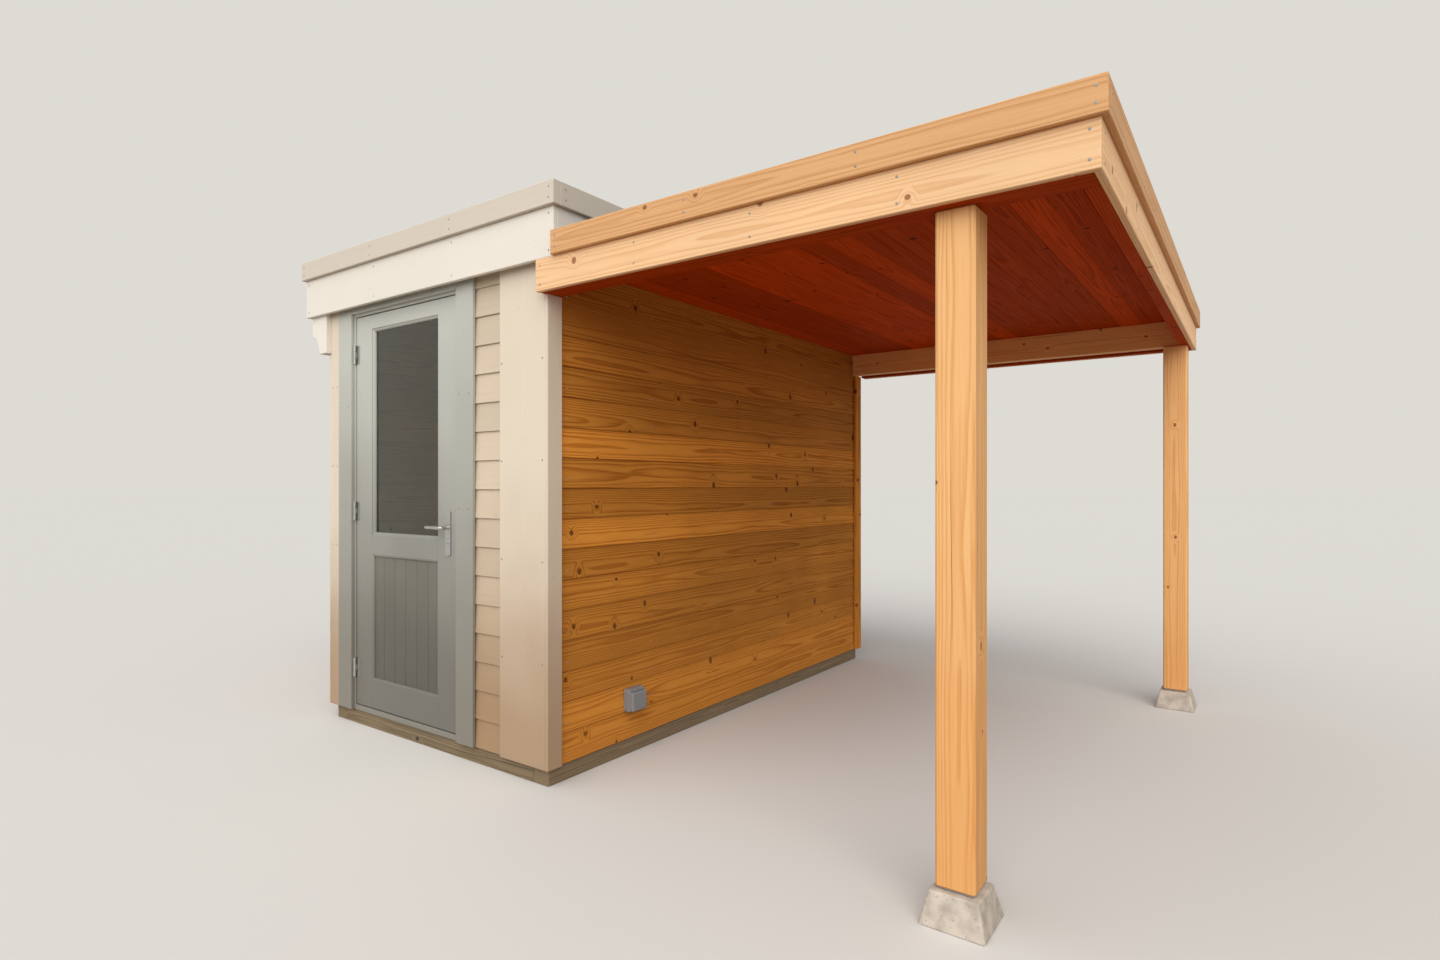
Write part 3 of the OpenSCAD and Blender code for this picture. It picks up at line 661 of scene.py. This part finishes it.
walls_low = np.minimum(span("left_wall")[0], span("front_wall_left")[0])
walls_high = np.maximum(span("canopy_side_wall")[1], span("back_wall")[1])
bracket_foot = span("eave_brackets")[0, 2]
beam_foot = span("canopy_rear_beam")[0, 2]


def corner_pair(low, high, side_top):
    """The two boards of a corner: one on the front or back wall, one on the side wall.

    The room's walls cut the solid's box in two: what lies beside the room is the side board,
    and the rest is the other one."""
    face, side = pair = np.array([[low, high], [low, high]])
    if low[0] < walls_low[0]:
        face[0, 0] = side[1, 0] = walls_low[0]
    else:
        face[1, 0] = side[0, 0] = walls_high[0]
    if low[1] < walls_low[1]:
        face[1, 1] = walls_low[1]
    else:
        face[0, 1] = walls_high[1]
    side[1, 2] = side_top
    return pair


narrow = sorted(solids("corner_boards"), key=lambda board: (board[0, 1] > 0, board[0, 0]))
wide, front_left, *rear = [
    corner_pair(low, high, top) for (low, high), top in
    zip([*solids("front_corner_board"), *narrow],
        [beam_foot, bracket_foot, bracket_foot, beam_foot])]
piece("wide_corner_board", bars(wide, TRIM, 47), cream_corners, "front_corner_board")
piece("front_left_corner_boards", bars(front_left, TRIM, 48), cream_corners, "corner_boards")
piece("rear_corner_boards", bars(np.concatenate(rear), TRIM, 50), honey_boards)

# %% [markdown]
# ## Eave brackets
# The brackets are sawn from thick board: a rectangle less a quarter of an oval at its outer
# foot. The outline is swept through the board's thickness, and a Bevel modifier softens the
# sawn edges all round.

# %% Brackets
CUT_X, CUT_Z = 0.5, 0.4   # the oval's half axes, as shares of the bracket's sides


def bracket_outline(width, height, steps=12):
    """A rectangle less a quarter of an oval at its outer foot: points (a cos t, b sin t)."""
    turn = np.radians(np.linspace(0, 90, steps + 1))
    oval = np.stack([CUT_X * width * np.cos(turn), CUT_Z * height * np.sin(turn)], 1)
    return np.concatenate([oval, [[0, height], [width, height], [width, 0]]])


bracket_lows, bracket_highs = solids("eave_brackets").swapaxes(0, 1)
width, depth, height = bracket_highs[0] - bracket_lows[0]
brackets = piece("sawn_brackets", swept(
    bracket_outline(width, height), bracket_lows, bracket_lows + depth * BACK, RIGHT, UP, 49,
    trunk=(2, 1, 0)), cream_fascia, "eave_brackets")
bevel = brackets.modifiers.new("soft_edges", "BEVEL")
bevel.width = 2.5 * MM
bevel.segments = 2
bevel.limit_method = "ANGLE"

# %% [markdown]
# ## The door
# A half-glazed door is a frame of two stiles and three rails. The glass sits between beads,
# and the lower field is closed with upright boards. Where wood meets wood there is a fine V,
# because every part has its edges broken before it is glued up.
# The leaf rides on the door's body, so it swings with the hinge; frame and casing stay.

# %% Stiles, rails and panel boards
GROOVE = 10 * MM      # how deep glass and panel sit in the leaf
PANEL_BOARD = 0.098   # about how wide the panel's boards are
INTO = np.array([[1, 0, 1], [-1, 0, -1]])   # moves an opening's two corners inwards
leaf, pane, panel = span("door_leaf"), span("door_glass"), span("door_panel")
light, field = pane + GROOVE * INTO, panel + GROOVE * INTO
face_y, back_y = leaf[:, 1]


def block(x, y, z):
    """The low and high corner of a box, from its ranges on the three axes."""
    return np.transpose([x, y, z])


def around(outer, inner, y):
    """Two uprights and two cross pieces between an outer and an inner rectangle."""
    (left, _, foot), (right, _, top) = outer
    (start, _, sill), (end, _, head) = inner
    return [block((left, start), y, (foot, top)), block((end, right), y, (foot, top)),
            block((start, end), y, (head, top)), block((start, end), y, (foot, sill))]


x, y = light[:, 0], leaf[:, 1]
parts = around(leaf, block(x, y, (field[0, 2], light[1, 2])), y)
parts.insert(3, block(x, y, (field[1, 2], light[0, 2])))
piece("stiles_and_rails", bars(parts, FINE, 51), leaf_paint, "door_leaf", body="door")
piece("panel_boards", bars(cut(field, PANEL_BOARD), SAWN, 52), dark_paint, "door_panel",
      body="door")

# %% [markdown]
# Beads and mouldings run round an opening and are mitred, which means cut at 45 degrees. A
# section carried round a rectangle makes such a frame: at each corner it moves inwards by the
# same distance on both axes, and that is the mitre.

# %% Mitred frames
def mitred(opening, section, face):
    """A closed frame round an opening in X and Z. section holds (inwards, forwards) points.

    At the corner with signs (s, t) a point is (x + s * inwards, face + forwards,
    z + t * inwards), where s and t point into the opening."""
    into = np.array([[1, 1], [-1, 1], [-1, -1], [1, -1]])
    corner = np.where(into > 0, opening[0, ::2], opening[1, ::2])
    flat = corner[:, None] + into[:, None] * section[:, :1]
    depth = np.broadcast_to(face + section[:, 1], flat.shape[:2])
    number = np.arange(4 * len(section)).reshape(4, -1)
    return shape(np.stack([flat[..., 0], depth, flat[..., 1]], -1),
                 [strips(number, np.roll(number, -1, axis=0))])


def beads(opening, filling, size, steps=6):
    """A bead round both faces of what fills an opening. Its section has two straight sides
    and a quarter circle (r cos t, r sin t) between them."""
    turn = np.radians(np.linspace(0, 90, steps))
    section = size * np.stack([[0, *np.cos(turn)], [0, *np.sin(turn)]], 1)
    return joined(mitred(opening, section * [1, -1], filling[0, 1]),
                  mitred(opening, section, filling[1, 1]))


PANE_BEAD, PANEL_BEAD = 14 * MM, 11 * MM
piece("quarter_round_beads", beads(light, pane, PANE_BEAD), leaf_paint, "glazing_beads",
      body="door")
piece("panel_moulding", beads(field, panel, PANEL_BEAD), leaf_paint,
      body="door")
frame["nodes"]["door_glass"].data.materials.clear()
frame["nodes"]["door_glass"].data.materials.append(glass)

# %% [markdown]
# The fixed frame has a part as wide as the jamb, and a stop behind it that the leaf closes
# against. They are planed from one length of wood; two bars that touch look the same. A strip
# of black rubber on the stop keeps the draught out.

# %% Frame, stop and seal
GAP = 5 * MM    # between the leaf and its frame
STOP = 7 * MM   # how far the stop covers the leaf
SEAL = 4 * MM   # width of the rubber strip
outer = span("door_frame")
clear = leaf - GAP * INTO
stop_y = back_y + GAP
jambs = around(outer, clear, outer[:, 1])
stops = around(clear, clear + (GAP + STOP) * INTO, (stop_y, outer[1, 1]))
piece("jambs_and_stops", bars(jambs + stops, FINE, 53), grey_paint, "door_frame")

turn = np.radians(np.arange(0, 360, 45))
lip = SEAL * np.stack([0.6 * np.cos(turn) + 1, 0.5 * np.sin(turn) - 0.5], 1) + [GAP, 0]
piece("rubber_seal", mitred(clear, lip, stop_y), black_rubber)

# %% [markdown]
# ## Lofts and tubes
# Handle, hinges, feet and socket are round or softly rounded. All are lofts: closed rings of
# points, one after another, joined by strips of faces and closed at both ends. A ring with
# round corners comes from four quarter circles, and a round edge from rings that shrink by
# 1 - cos t while they rise by sin t.

# %% Rings, lofts, plates and tubes
def loft(rings):
    """A closed solid through rings of equally many points, with a flat face at each end."""
    number = np.arange(np.size(rings) // 3).reshape(len(rings), -1)
    ends = np.stack([number[0, ::-1], number[-1]])
    return shape(rings, [strips(number[:-1], number[1:]), ends])


def round_rectangle(half, radius, steps=7):
    """A rectangle's outline with quarter circles round the four corner middles."""
    turn = np.radians(90 * np.arange(4)[:, None] + np.linspace(0, 90, steps))
    middle = np.array([[1, 1], [-1, 1], [-1, -1], [1, -1]]) * (np.asarray(half) - radius)
    arc = radius * np.stack([np.cos(turn), np.sin(turn)], -1)
    return (middle[:, None] + arc).reshape(-1, 2)


def across(way):
    """Two directions at right angles to a way and to each other."""
    side = np.cross(UP, way) if abs(way[2]) < 0.5 else RIGHT
    return side, np.cross(way, side)


def soft_plate(centre, way, half, radius, depth, edge, steps=5):
    """A plate with round corners and a round front edge, standing out from its centre.

    The edge's rings shrink by edge * (1 - cos t) and rise by edge * sin t."""
    turn = np.radians(np.linspace(0, 90, steps))
    shrink = [0, *edge * (1 - np.cos(turn))]
    rise = [0, *(depth - edge + edge * np.sin(turn))]
    side, up = across(way)
    rings = []
    for inset, height in zip(shrink, rise):
        flat = round_rectangle(np.asarray(half) - inset, max(radius - inset, 0.2 * MM))
        rings.append(centre + flat[:, :1] * side + flat[:, 1:] * up + height * way)
    return loft(rings)


def turned(foot, way, radii, heights, sides=24):
    """A lathe shape: circles of the given radii at the given heights over its foot."""
    angle = np.linspace(0, 2 * np.pi, sides, endpoint=False)[:, None]
    side, up = across(way)
    circle = np.cos(angle) * side + np.sin(angle) * up
    radii, heights = np.array([radii, heights])[..., None, None]
    return loft(foot + radii * circle + heights * way)


def tube(path, radii, sides=16):
    """A tube along a level path: circles square to it, spanned by the vertical and the
    direction at right angles to both the path and the vertical."""
    ahead = np.gradient(path, axis=0)
    ahead /= np.linalg.norm(ahead, axis=1, keepdims=True)
    side = np.cross(ahead, UP)[:, None]
    angle = np.linspace(0, 2 * np.pi, sides, endpoint=False)[:, None]
    circle = np.cos(angle) * side + np.sin(angle) * UP
    return loft(path[:, None] + radii[:, None, None] * circle)


print("a round rectangle has", len(round_rectangle((1, 1), 0.2)), "points")

# %% [markdown]
# ## Screws
# Boards of this size are fixed with stainless screws, two in each place where they cross a
# stud. One head is made as a small lathe shape with a dip in its middle, and copied by adding
# each place to all its points.

# %% Screw heads
STUD_STEP, CORNER_STEP = 0.6, 0.45         # from one screw to the next, in metres
MARGIN, CORNER_MARGIN = 28 * MM, 16 * MM   # from a screw to the board's edges
WALL_MARGIN = 90 * MM                      # from a screw to the end of a wall board
UP_BOARD = 0.28                            # how far up a wall board it is, as a share


def screw_heads(places, way, radius=4.5 * MM):
    """Heads at many places. Every head is the same loft, with ten sides."""
    head = turned(np.zeros(3), way, radius * np.array([1, 1, 0.6, 0.45, 0.2]),
                  radius * np.array([-0.1, 0.12, 0.26, 0.26, 0.05]), sides=10)
    points = np.array(places)[:, None] + head["points"]
    return shape(points, copies(head["faces"], len(head["points"]), len(points)))


def level_of(board, way):
    """The axis that a way lies on, and where on it the board's face is that looks that way."""
    axis = int(np.abs(way).argmax())
    return axis, board[int(way.sum() > 0)][axis]


def pairs_on(board, way, step, margin):
    """Places for two rows of screws on a board's face: every step along the board, a margin
    from its edges. A board that only shows its end gets none."""
    axis, level = level_of(board, way)
    low, high = board + margin * np.array([[1], [-1]])
    along = int((high - low).argmax())
    if along == axis:
        return np.empty((0, 3))
    side = 3 - axis - along
    count = max(2, round((high[along] - low[along]) / step) + 1)
    places = np.full((count, 2, 3), level)
    places[..., along] = np.linspace(low[along], high[along], count)[:, None]
    places[..., side] = low[side], high[side]
    return places.reshape(-1, 3)


def face_screws(node, way):
    """Screw heads on the boards of a node that are its outermost ones in a direction."""
    edge = level_of(span(node), way)[1]
    places = [pairs_on(board, way, STUD_STEP, MARGIN) for board in solids(node)
              if abs(level_of(board, way)[1] - edge) < 2 * HEAD_RISE]
    return screw_heads(np.concatenate(places), way)


def wall_screws(node, way, inset=2 * MM):
    """One head on each wall board at each line of studs, sunk a little into the taper."""
    low, high = wall = span(node)
    count, cover = board_rows(wall)
    axis, level = level_of(wall, way)
    along = 1 - axis
    lines = max(2, round((high[along] - low[along]) / STUD_STEP) + 1)
    places = np.full((count, lines, 3), level - inset * way[axis])
    places[..., along] = np.linspace(low[along] + WALL_MARGIN, high[along] - WALL_MARGIN, lines)
    places[..., 2] = (low[2] + cover * (np.arange(count) + UP_BOARD))[:, None]
    return screw_heads(places.reshape(-1, 3), way, 3.6 * MM)


def screws(name, *heads):
    """A piece of screw heads."""
    piece(name, joined(*heads), zinc_steel, smooth=True)


outer_sides = {"room_fascia": (FRONT, BACK, LEFT), "canopy_fascia": (FRONT, BACK, RIGHT),
               "room_trim": (FRONT, BACK, LEFT, RIGHT), "canopy_trim": (FRONT, BACK, RIGHT),
               "door_casing": (FRONT,)}
screws("fascia_and_casing_screws",
       *[face_screws(node, way) for node, ways in outer_sides.items() for way in ways])
screws("corner_board_screws",
       *[screw_heads(pairs_on(pair[0], way, CORNER_STEP, CORNER_MARGIN), way) for pair, way in
         ((wide, FRONT), (front_left, FRONT), (rear[0], BACK), (rear[1], BACK))])
screws("wall_board_screws", wall_screws("canopy_side_wall", RIGHT),
       wall_screws("left_wall", LEFT), wall_screws("back_wall", BACK))

# %% [markdown]
# ## Handle and lock
# The lever is round steel bent once: out from the shield, then along the door. So it is a tube
# along a straight line, a quarter circle and a straight line, closed by rings that shrink like
# half a ball. The shield has round corners, and under the lever is the lock with its keyway.

# %% Handle
handle_low, handle_high = span("door_handle")
shield_half = np.array([20, 110]) * MM
PIN_UP, LOCK_DOWN = 136 * MM, 72 * MM   # the lever over the shield's foot, the lock under it
SHIELD_DEPTH, LEVER_RADIUS, LEVER_OUT, LEVER_BEND = 8 * MM, 9 * MM, 50 * MM, 16 * MM
TIP_RADIUS = 0.8 * LEVER_RADIUS
pin_x = handle_high[0] - shield_half[0]
shield_z = (handle_low[2] + handle_high[2]) / 2
pin_z = handle_low[2] + PIN_UP
lock_z = pin_z - LOCK_DOWN


def handle_side(face, way):
    """Shield, collar, lever, lock and two screws on one face of the leaf.

    The lever's bend is (b (cos t - 1), d - b + b sin t), along the door and out from it. Its
    last straight grows thinner, and its end is (r sin t) long at a radius of (r cos t)."""
    def spot(z, rise=0.0):
        return np.array([pin_x, face, z]) + rise * way

    turn = np.radians(np.linspace(0, 90, 9))
    cap = np.radians(np.linspace(0, 86, 6))[1:]
    end = pin_x - handle_low[0] - TIP_RADIUS
    aside = np.concatenate([[0, 0], LEVER_BEND * (np.cos(turn) - 1),
                            -np.linspace(0.3, 1, 5) * end, -end - TIP_RADIUS * np.sin(cap)])
    depth = np.concatenate([[SHIELD_DEPTH, LEVER_OUT - LEVER_BEND - 2 * MM],
                            LEVER_OUT - LEVER_BEND + LEVER_BEND * np.sin(turn),
                            np.full(10, LEVER_OUT)])
    radii = np.concatenate([np.full(11, LEVER_RADIUS), np.linspace(1, 0.8, 5) * LEVER_RADIUS,
                            TIP_RADIUS * np.cos(cap)])
    path = spot(pin_z) + aside[:, None] * RIGHT + depth[:, None] * way
    return joined(
        soft_plate(spot(shield_z), way, shield_half, 9 * MM, SHIELD_DEPTH, 2.5 * MM),
        turned(spot(pin_z), way, np.array([12, 12, 11]) * MM, np.array([7, 12, 13]) * MM),
        tube(path, radii),
        turned(spot(lock_z), way, np.array([8.5, 8.5, 7.8]) * MM, np.array([6, 10.2, 11]) * MM),
        screw_heads([spot(shield_z + side * 96 * MM, SHIELD_DEPTH) for side in (-1, 1)], way,
                    3.5 * MM))


sides = [(face_y, FRONT), (back_y, BACK)]
piece("lever_handles", joined(*[handle_side(*side) for side in sides]), brushed_steel,
      "door_handle", body="door")
keyways = [block((pin_x - 0.8 * MM, pin_x + 0.8 * MM),
                 sorted(face + way[1] * np.array([10, 11.3]) * MM),
                 (lock_z - 5 * MM, lock_z + 5 * MM)) for face, way in sides]
piece("keyways", bars(keyways, 0.1, 61), dark_hole, body="door")

# %% [markdown]
# ## Hinges
# A butt hinge has two plates whose edges are rolled into knuckles round one pin. The middle
# knuckle belongs to the leaf, the outer two to the frame, so they go on different bodies.

# %% Hinges
pin = np.array(frame["joints"][0]["pos_m"], float)
leaf_halves, frame_halves = solids("door_hinges"), solids("frame_hinges")
length = leaf_halves[0, 1, 2] - leaf_halves[0, 0, 2]
knuckle_radius = pin[0] - leaf_halves[0, 0, 0]
PLATE = 3 * MM         # thickness of the plates
PLATE_EDGE = 0.4       # their broken edges, in millimetres
KNUCKLE_EDGE = 0.6 * MM
HINGE_SCREW = 3.2 * MM


def knuckle(low, high):
    """A rolled knuckle round the pin: a cylinder whose end edges are cut back a little."""
    return turned(np.array([pin[0], pin[1], low]), UP,
                  knuckle_radius - KNUCKLE_EDGE * np.array([1, 0, 0, 1]),
                  np.array([0, KNUCKLE_EDGE, high - low - KNUCKLE_EDGE, high - low]))


middles = leaf_halves[:, :, 2].mean(1)
plate_y = face_y - PLATE
leaf_plates = [block((pin[0], pin[0] + 30 * MM), (plate_y, face_y),
                     (z - length / 2, z + length / 2)) for z in middles]
webs = [block((pin[0], pin[0] + PLATE), (pin[1], plate_y), (z - length / 6, z + length / 6))
        for z in middles]
leaf_screws = [[pin[0] + 17 * MM, plate_y, z + side * 0.34 * length]
               for z in middles for side in (-1, 0, 1)]
piece("leaf_hinge_halves", joined(
    bars(leaf_plates, PLATE_EDGE, 62), bars(webs, PLATE_EDGE, 63),
    *[knuckle(z - length / 6, z + length / 6) for z in middles],
    screw_heads(leaf_screws, FRONT, HINGE_SCREW)), brushed_steel, "door_hinges", body="door")

frame_plates = [block((low[0], pin[0]), (high[1] - PLATE, high[1]), (low[2], high[2]))
                for low, high in frame_halves]
frame_screws = [[low[0] + 8 * MM, high[1] - PLATE, (low[2] + high[2]) / 2]
                for low, high in frame_halves]
piece("frame_hinge_halves", joined(
    bars(frame_plates, PLATE_EDGE, 64),
    *[knuckle(low[2], high[2]) for low, high in frame_halves],
    screw_heads(frame_screws, FRONT, HINGE_SCREW)), brushed_steel, "frame_hinges")

# %% [markdown]
# ## Roofing
# Each flat roof is covered with one sheet of rubber. It lies in faint folds, turns up in a
# curve where it meets the trim, and ends a little below the trim's top. The surface is a
# height over a grid, and Solidify gives it the sheet's thickness.

# %% Rubber sheet
INSET = 2 * MM     # from the sheet's edge to the trim
REACH = 45 * MM    # how wide the curve of its upturn is
UPTURN = 0.78      # the share of the trim's height that it climbs
FOLD = 1.0 * MM    # how high its folds are at most
WAVES = 6


def marks(start, end):
    """Grid lines from start to end, close together where the sheet turns up."""
    near = np.linspace(0, REACH, 8)
    middle = np.linspace(start + REACH, end - REACH, 60)[1:-1]
    return np.concatenate([start + near, middle, (end - near)[::-1]])


def membrane(node, trim, seed):
    """A sheet inside the trim. Its height is the roof, plus rise * (1 - d / r)^3 within r of
    an edge at distance d, plus a sum of sines in random directions."""
    low, high = span(node)
    rise = UPTURN * (span(trim)[1, 2] - high[2])
    x, y = np.meshgrid(marks(low[0] + INSET, high[0] - INSET),
                       marks(low[1] + INSET, high[1] - INSET), indexing="ij")
    edge = np.minimum(np.minimum(x - x.min(), x.max() - x), np.minimum(y - y.min(), y.max() - y))
    draw = np.random.default_rng(seed)
    turns = draw.uniform(0, np.pi, WAVES)
    rates = draw.uniform(3, 9, WAVES)
    starts = draw.uniform(0, 2 * np.pi, WAVES)
    wave = sum(np.sin(rate * (x * np.cos(turn) + y * np.sin(turn)) + start)
               for rate, turn, start in zip(rates, turns, starts)) / WAVES
    inner = np.clip(edge / REACH, 0, 1)
    z = high[2] + rise * (1 - inner) ** 3 + FOLD * wave * inner
    number = np.arange(x.size).reshape(x.shape)
    rows = np.stack([number[:-1, :-1], number[1:, :-1], number[1:, 1:], number[:-1, 1:]], -1)
    points = np.stack([x, y, z], -1).reshape(-1, 3)
    return {"points": points, "faces": [rows.reshape(-1, 4)], "grain": points,
            "tone": np.full(x.size, 0.5)}


for roof, seed in (("room", 71), ("canopy", 72)):
    node = roof + "_roof_sheet"
    sheet = piece(roof + "_rubber_sheet", membrane(node, roof + "_trim", seed), roofing, node,
                  smooth=True)
    thickness = sheet.modifiers.new("sheet_thickness", "SOLIDIFY")
    thickness.thickness = 1.2 * MM
    thickness.offset = -1

# %% [markdown]
# ## Feet and shoes
# Each post stands on a steel plate on a cast concrete foot. The foot tapers, so that it comes
# out of its mould, and its edges are worn. Rings with round corners shrink towards the top,
# and a slow wave of half a millimetre keeps the faces from being perfectly flat.

# %% Concrete feet and steel plates
FOOT_TOP = 75 * MM   # half the width of a foot's top
WORN = 7 * MM        # radius of its worn edge


def cast_foot(low, high):
    """A tapered block: its half size falls in a straight line with the height, and the top
    edge follows a quarter circle."""
    middle, half, height = (low + high) / 2, (high[0] - low[0]) / 2, high[2] - low[2]
    turn = np.radians(np.linspace(0, 90, 5))
    rise = [0, 0.03, 0.35, 0.7, *((height - WORN + WORN * np.sin(turn)) / height)]
    inset = [3 * MM, 0, 0, 0, *(WORN * (1 - np.cos(turn)))]
    rings = []
    for share, less in zip(rise, inset):
        size = half + (FOOT_TOP - half) * share - less
        flat = round_rectangle((size, size), 9 * MM, 9)
        wave = 0.5 * MM * np.sin(37 * flat[:, :1] + 53 * flat[:, 1:] + 41 * share)
        ring = middle[:2] + flat * (1 + wave / size)
        rings.append(np.column_stack([ring, np.full(len(ring), low[2] + share * height)]))
    return loft(rings)


piece("cast_feet", joined(*[cast_foot(*foot) for foot in solids("post_feet")]), concrete,
      "post_feet")
piece("post_plates", bars(solids("post_shoes"), 1.0, 81), zinc_steel, "post_shoes")

# %% [markdown]
# ## Socket
# The weatherproof socket is moulded plastic: a box with round edges, and a lid on a small
# hinge at its top that closes over the outlet.

# %% Socket box
socket_low, socket_high = span("socket_box")
BOX_DEPTH = 33 * MM
back_x, _, _ = socket_low
_, box_y, box_z = (socket_low + socket_high) / 2
box_half = (socket_high[2] - socket_low[2]) / 2
box = soft_plate(np.array([back_x, box_y, box_z]), RIGHT, (box_half, box_half), 10 * MM,
                 BOX_DEPTH, 5 * MM)
lid_half = box_half - 4 * MM
lid_x = back_x + BOX_DEPTH - 1 * MM
lid = soft_plate(np.array([lid_x, box_y, box_z - 5 * MM]), RIGHT, (lid_half, lid_half - 5 * MM),
                 9 * MM, socket_high[0] - lid_x, 8 * MM)
barrel_start = np.array([lid_x + 5 * MM, box_y - 0.7 * lid_half, box_z + box_half - 9 * MM])
barrel = turned(barrel_start, BACK, np.array([4.5, 5, 5, 4.5]) * MM,
                np.array([0, 0.5 * MM, 1.4 * lid_half - 0.5 * MM, 1.4 * lid_half]))
piece("socket_with_lid", joined(box, lid, barrel), grey_plastic, "socket_box")

# %% [markdown]
# ## Floor, light and camera
# The studio is plain: a pale floor that runs into a pale background, a broad light from the
# front right, and soft light from all round that is weaker behind the house.
# Light Path sets apart what the camera sees and what lights the house. The camera, and rays
# that reflect in glass and metal, see a pale floor and world. Light that bounces meets a
# darker floor, or it would fill the deep shade under the canopy.
# The levels are set so that a colour that faces the light renders about as it is written.

# %% Studio
FILL_BACK = 0.22   # strength of the light from straight behind
FILL_FRONT = 1.5   # how much stronger it is from the front
FILL_FALL = 1.6    # how fast it falls off between them


def seen(node):
    """1 for rays from the camera, a reflection or through glass, and 0 for others."""
    path = node("LightPath").outputs
    straight = node("Math MAXIMUM", path["Is Camera Ray"], path["Is Glossy Ray"])
    return node("Math MAXIMUM", straight, path["Is Transmission Ray"])


floor_material, node, floor_shader = new_material("studio_floor", "c9c7c3", 0.9)
feed(floor_shader, {"Base Color": node(BLEND, seen(node), "998c7f", "dedcd8"),
                    "Specular IOR Level": 0.0})
bpy.ops.mesh.primitive_plane_add(size=400, location=(0, 0, 0))
studio_floor = bpy.context.object
studio_floor.name = "studio_floor"
studio_floor.data.materials.append(floor_material)

world = bpy.data.worlds.new("pale_world")
bpy.context.scene.world = world
world.use_nodes = True
node = partial(add, world.node_tree)
_, ahead, _ = node("SeparateXYZ", node("TexCoord").outputs["Generated"]).outputs
frontal = node("Math POWER", node("MapRange LINEAR", ahead, 1.0, -1.0), FILL_FALL)
fill = node(TIMES_PLUS, frontal, FILL_FRONT, FILL_BACK)
feed(world.node_tree.nodes["Background"], {
    "Color": node(BLEND, seen(node), "f4f6f8", "dedbd5"),
    "Strength": node("Mix FLOAT", seen(node), fill, 1.0)})

sun_data = bpy.data.lights.new("broad_sun", "SUN")
sun_data.energy = 1.5
sun_data.angle = np.radians(60)
sun_data.color = linear("fff6ea")[:3]
sun = bpy.data.objects.new("broad_sun", sun_data)
sun.rotation_euler = np.radians([52, 0, 35])
bpy.context.scene.collection.objects.link(sun)

EYE = (2.3905, -3.785, 1.30)   # the camera's place, in metres
TURN = 35.6                    # how far it is turned to the left, in degrees
FOCUS_PX, PHOTO_W, SHIFT_PX, SENSOR_MM = 763, 1440, 5.6, 36
camera_data = bpy.data.cameras.new("photo_camera")
camera_data.sensor_width = SENSOR_MM
camera_data.lens = FOCUS_PX / PHOTO_W * SENSOR_MM
camera_data.shift_y = SHIFT_PX / PHOTO_W
camera = bpy.data.objects.new("photo_camera", camera_data)
camera.location = EYE
camera.rotation_euler = np.radians([90, 0, TURN])
bpy.context.scene.collection.objects.link(camera)
bpy.context.scene.camera = camera
bpy.context.scene.view_settings.view_transform = "Standard"
print("lens", round(camera_data.lens, 2), "mm")
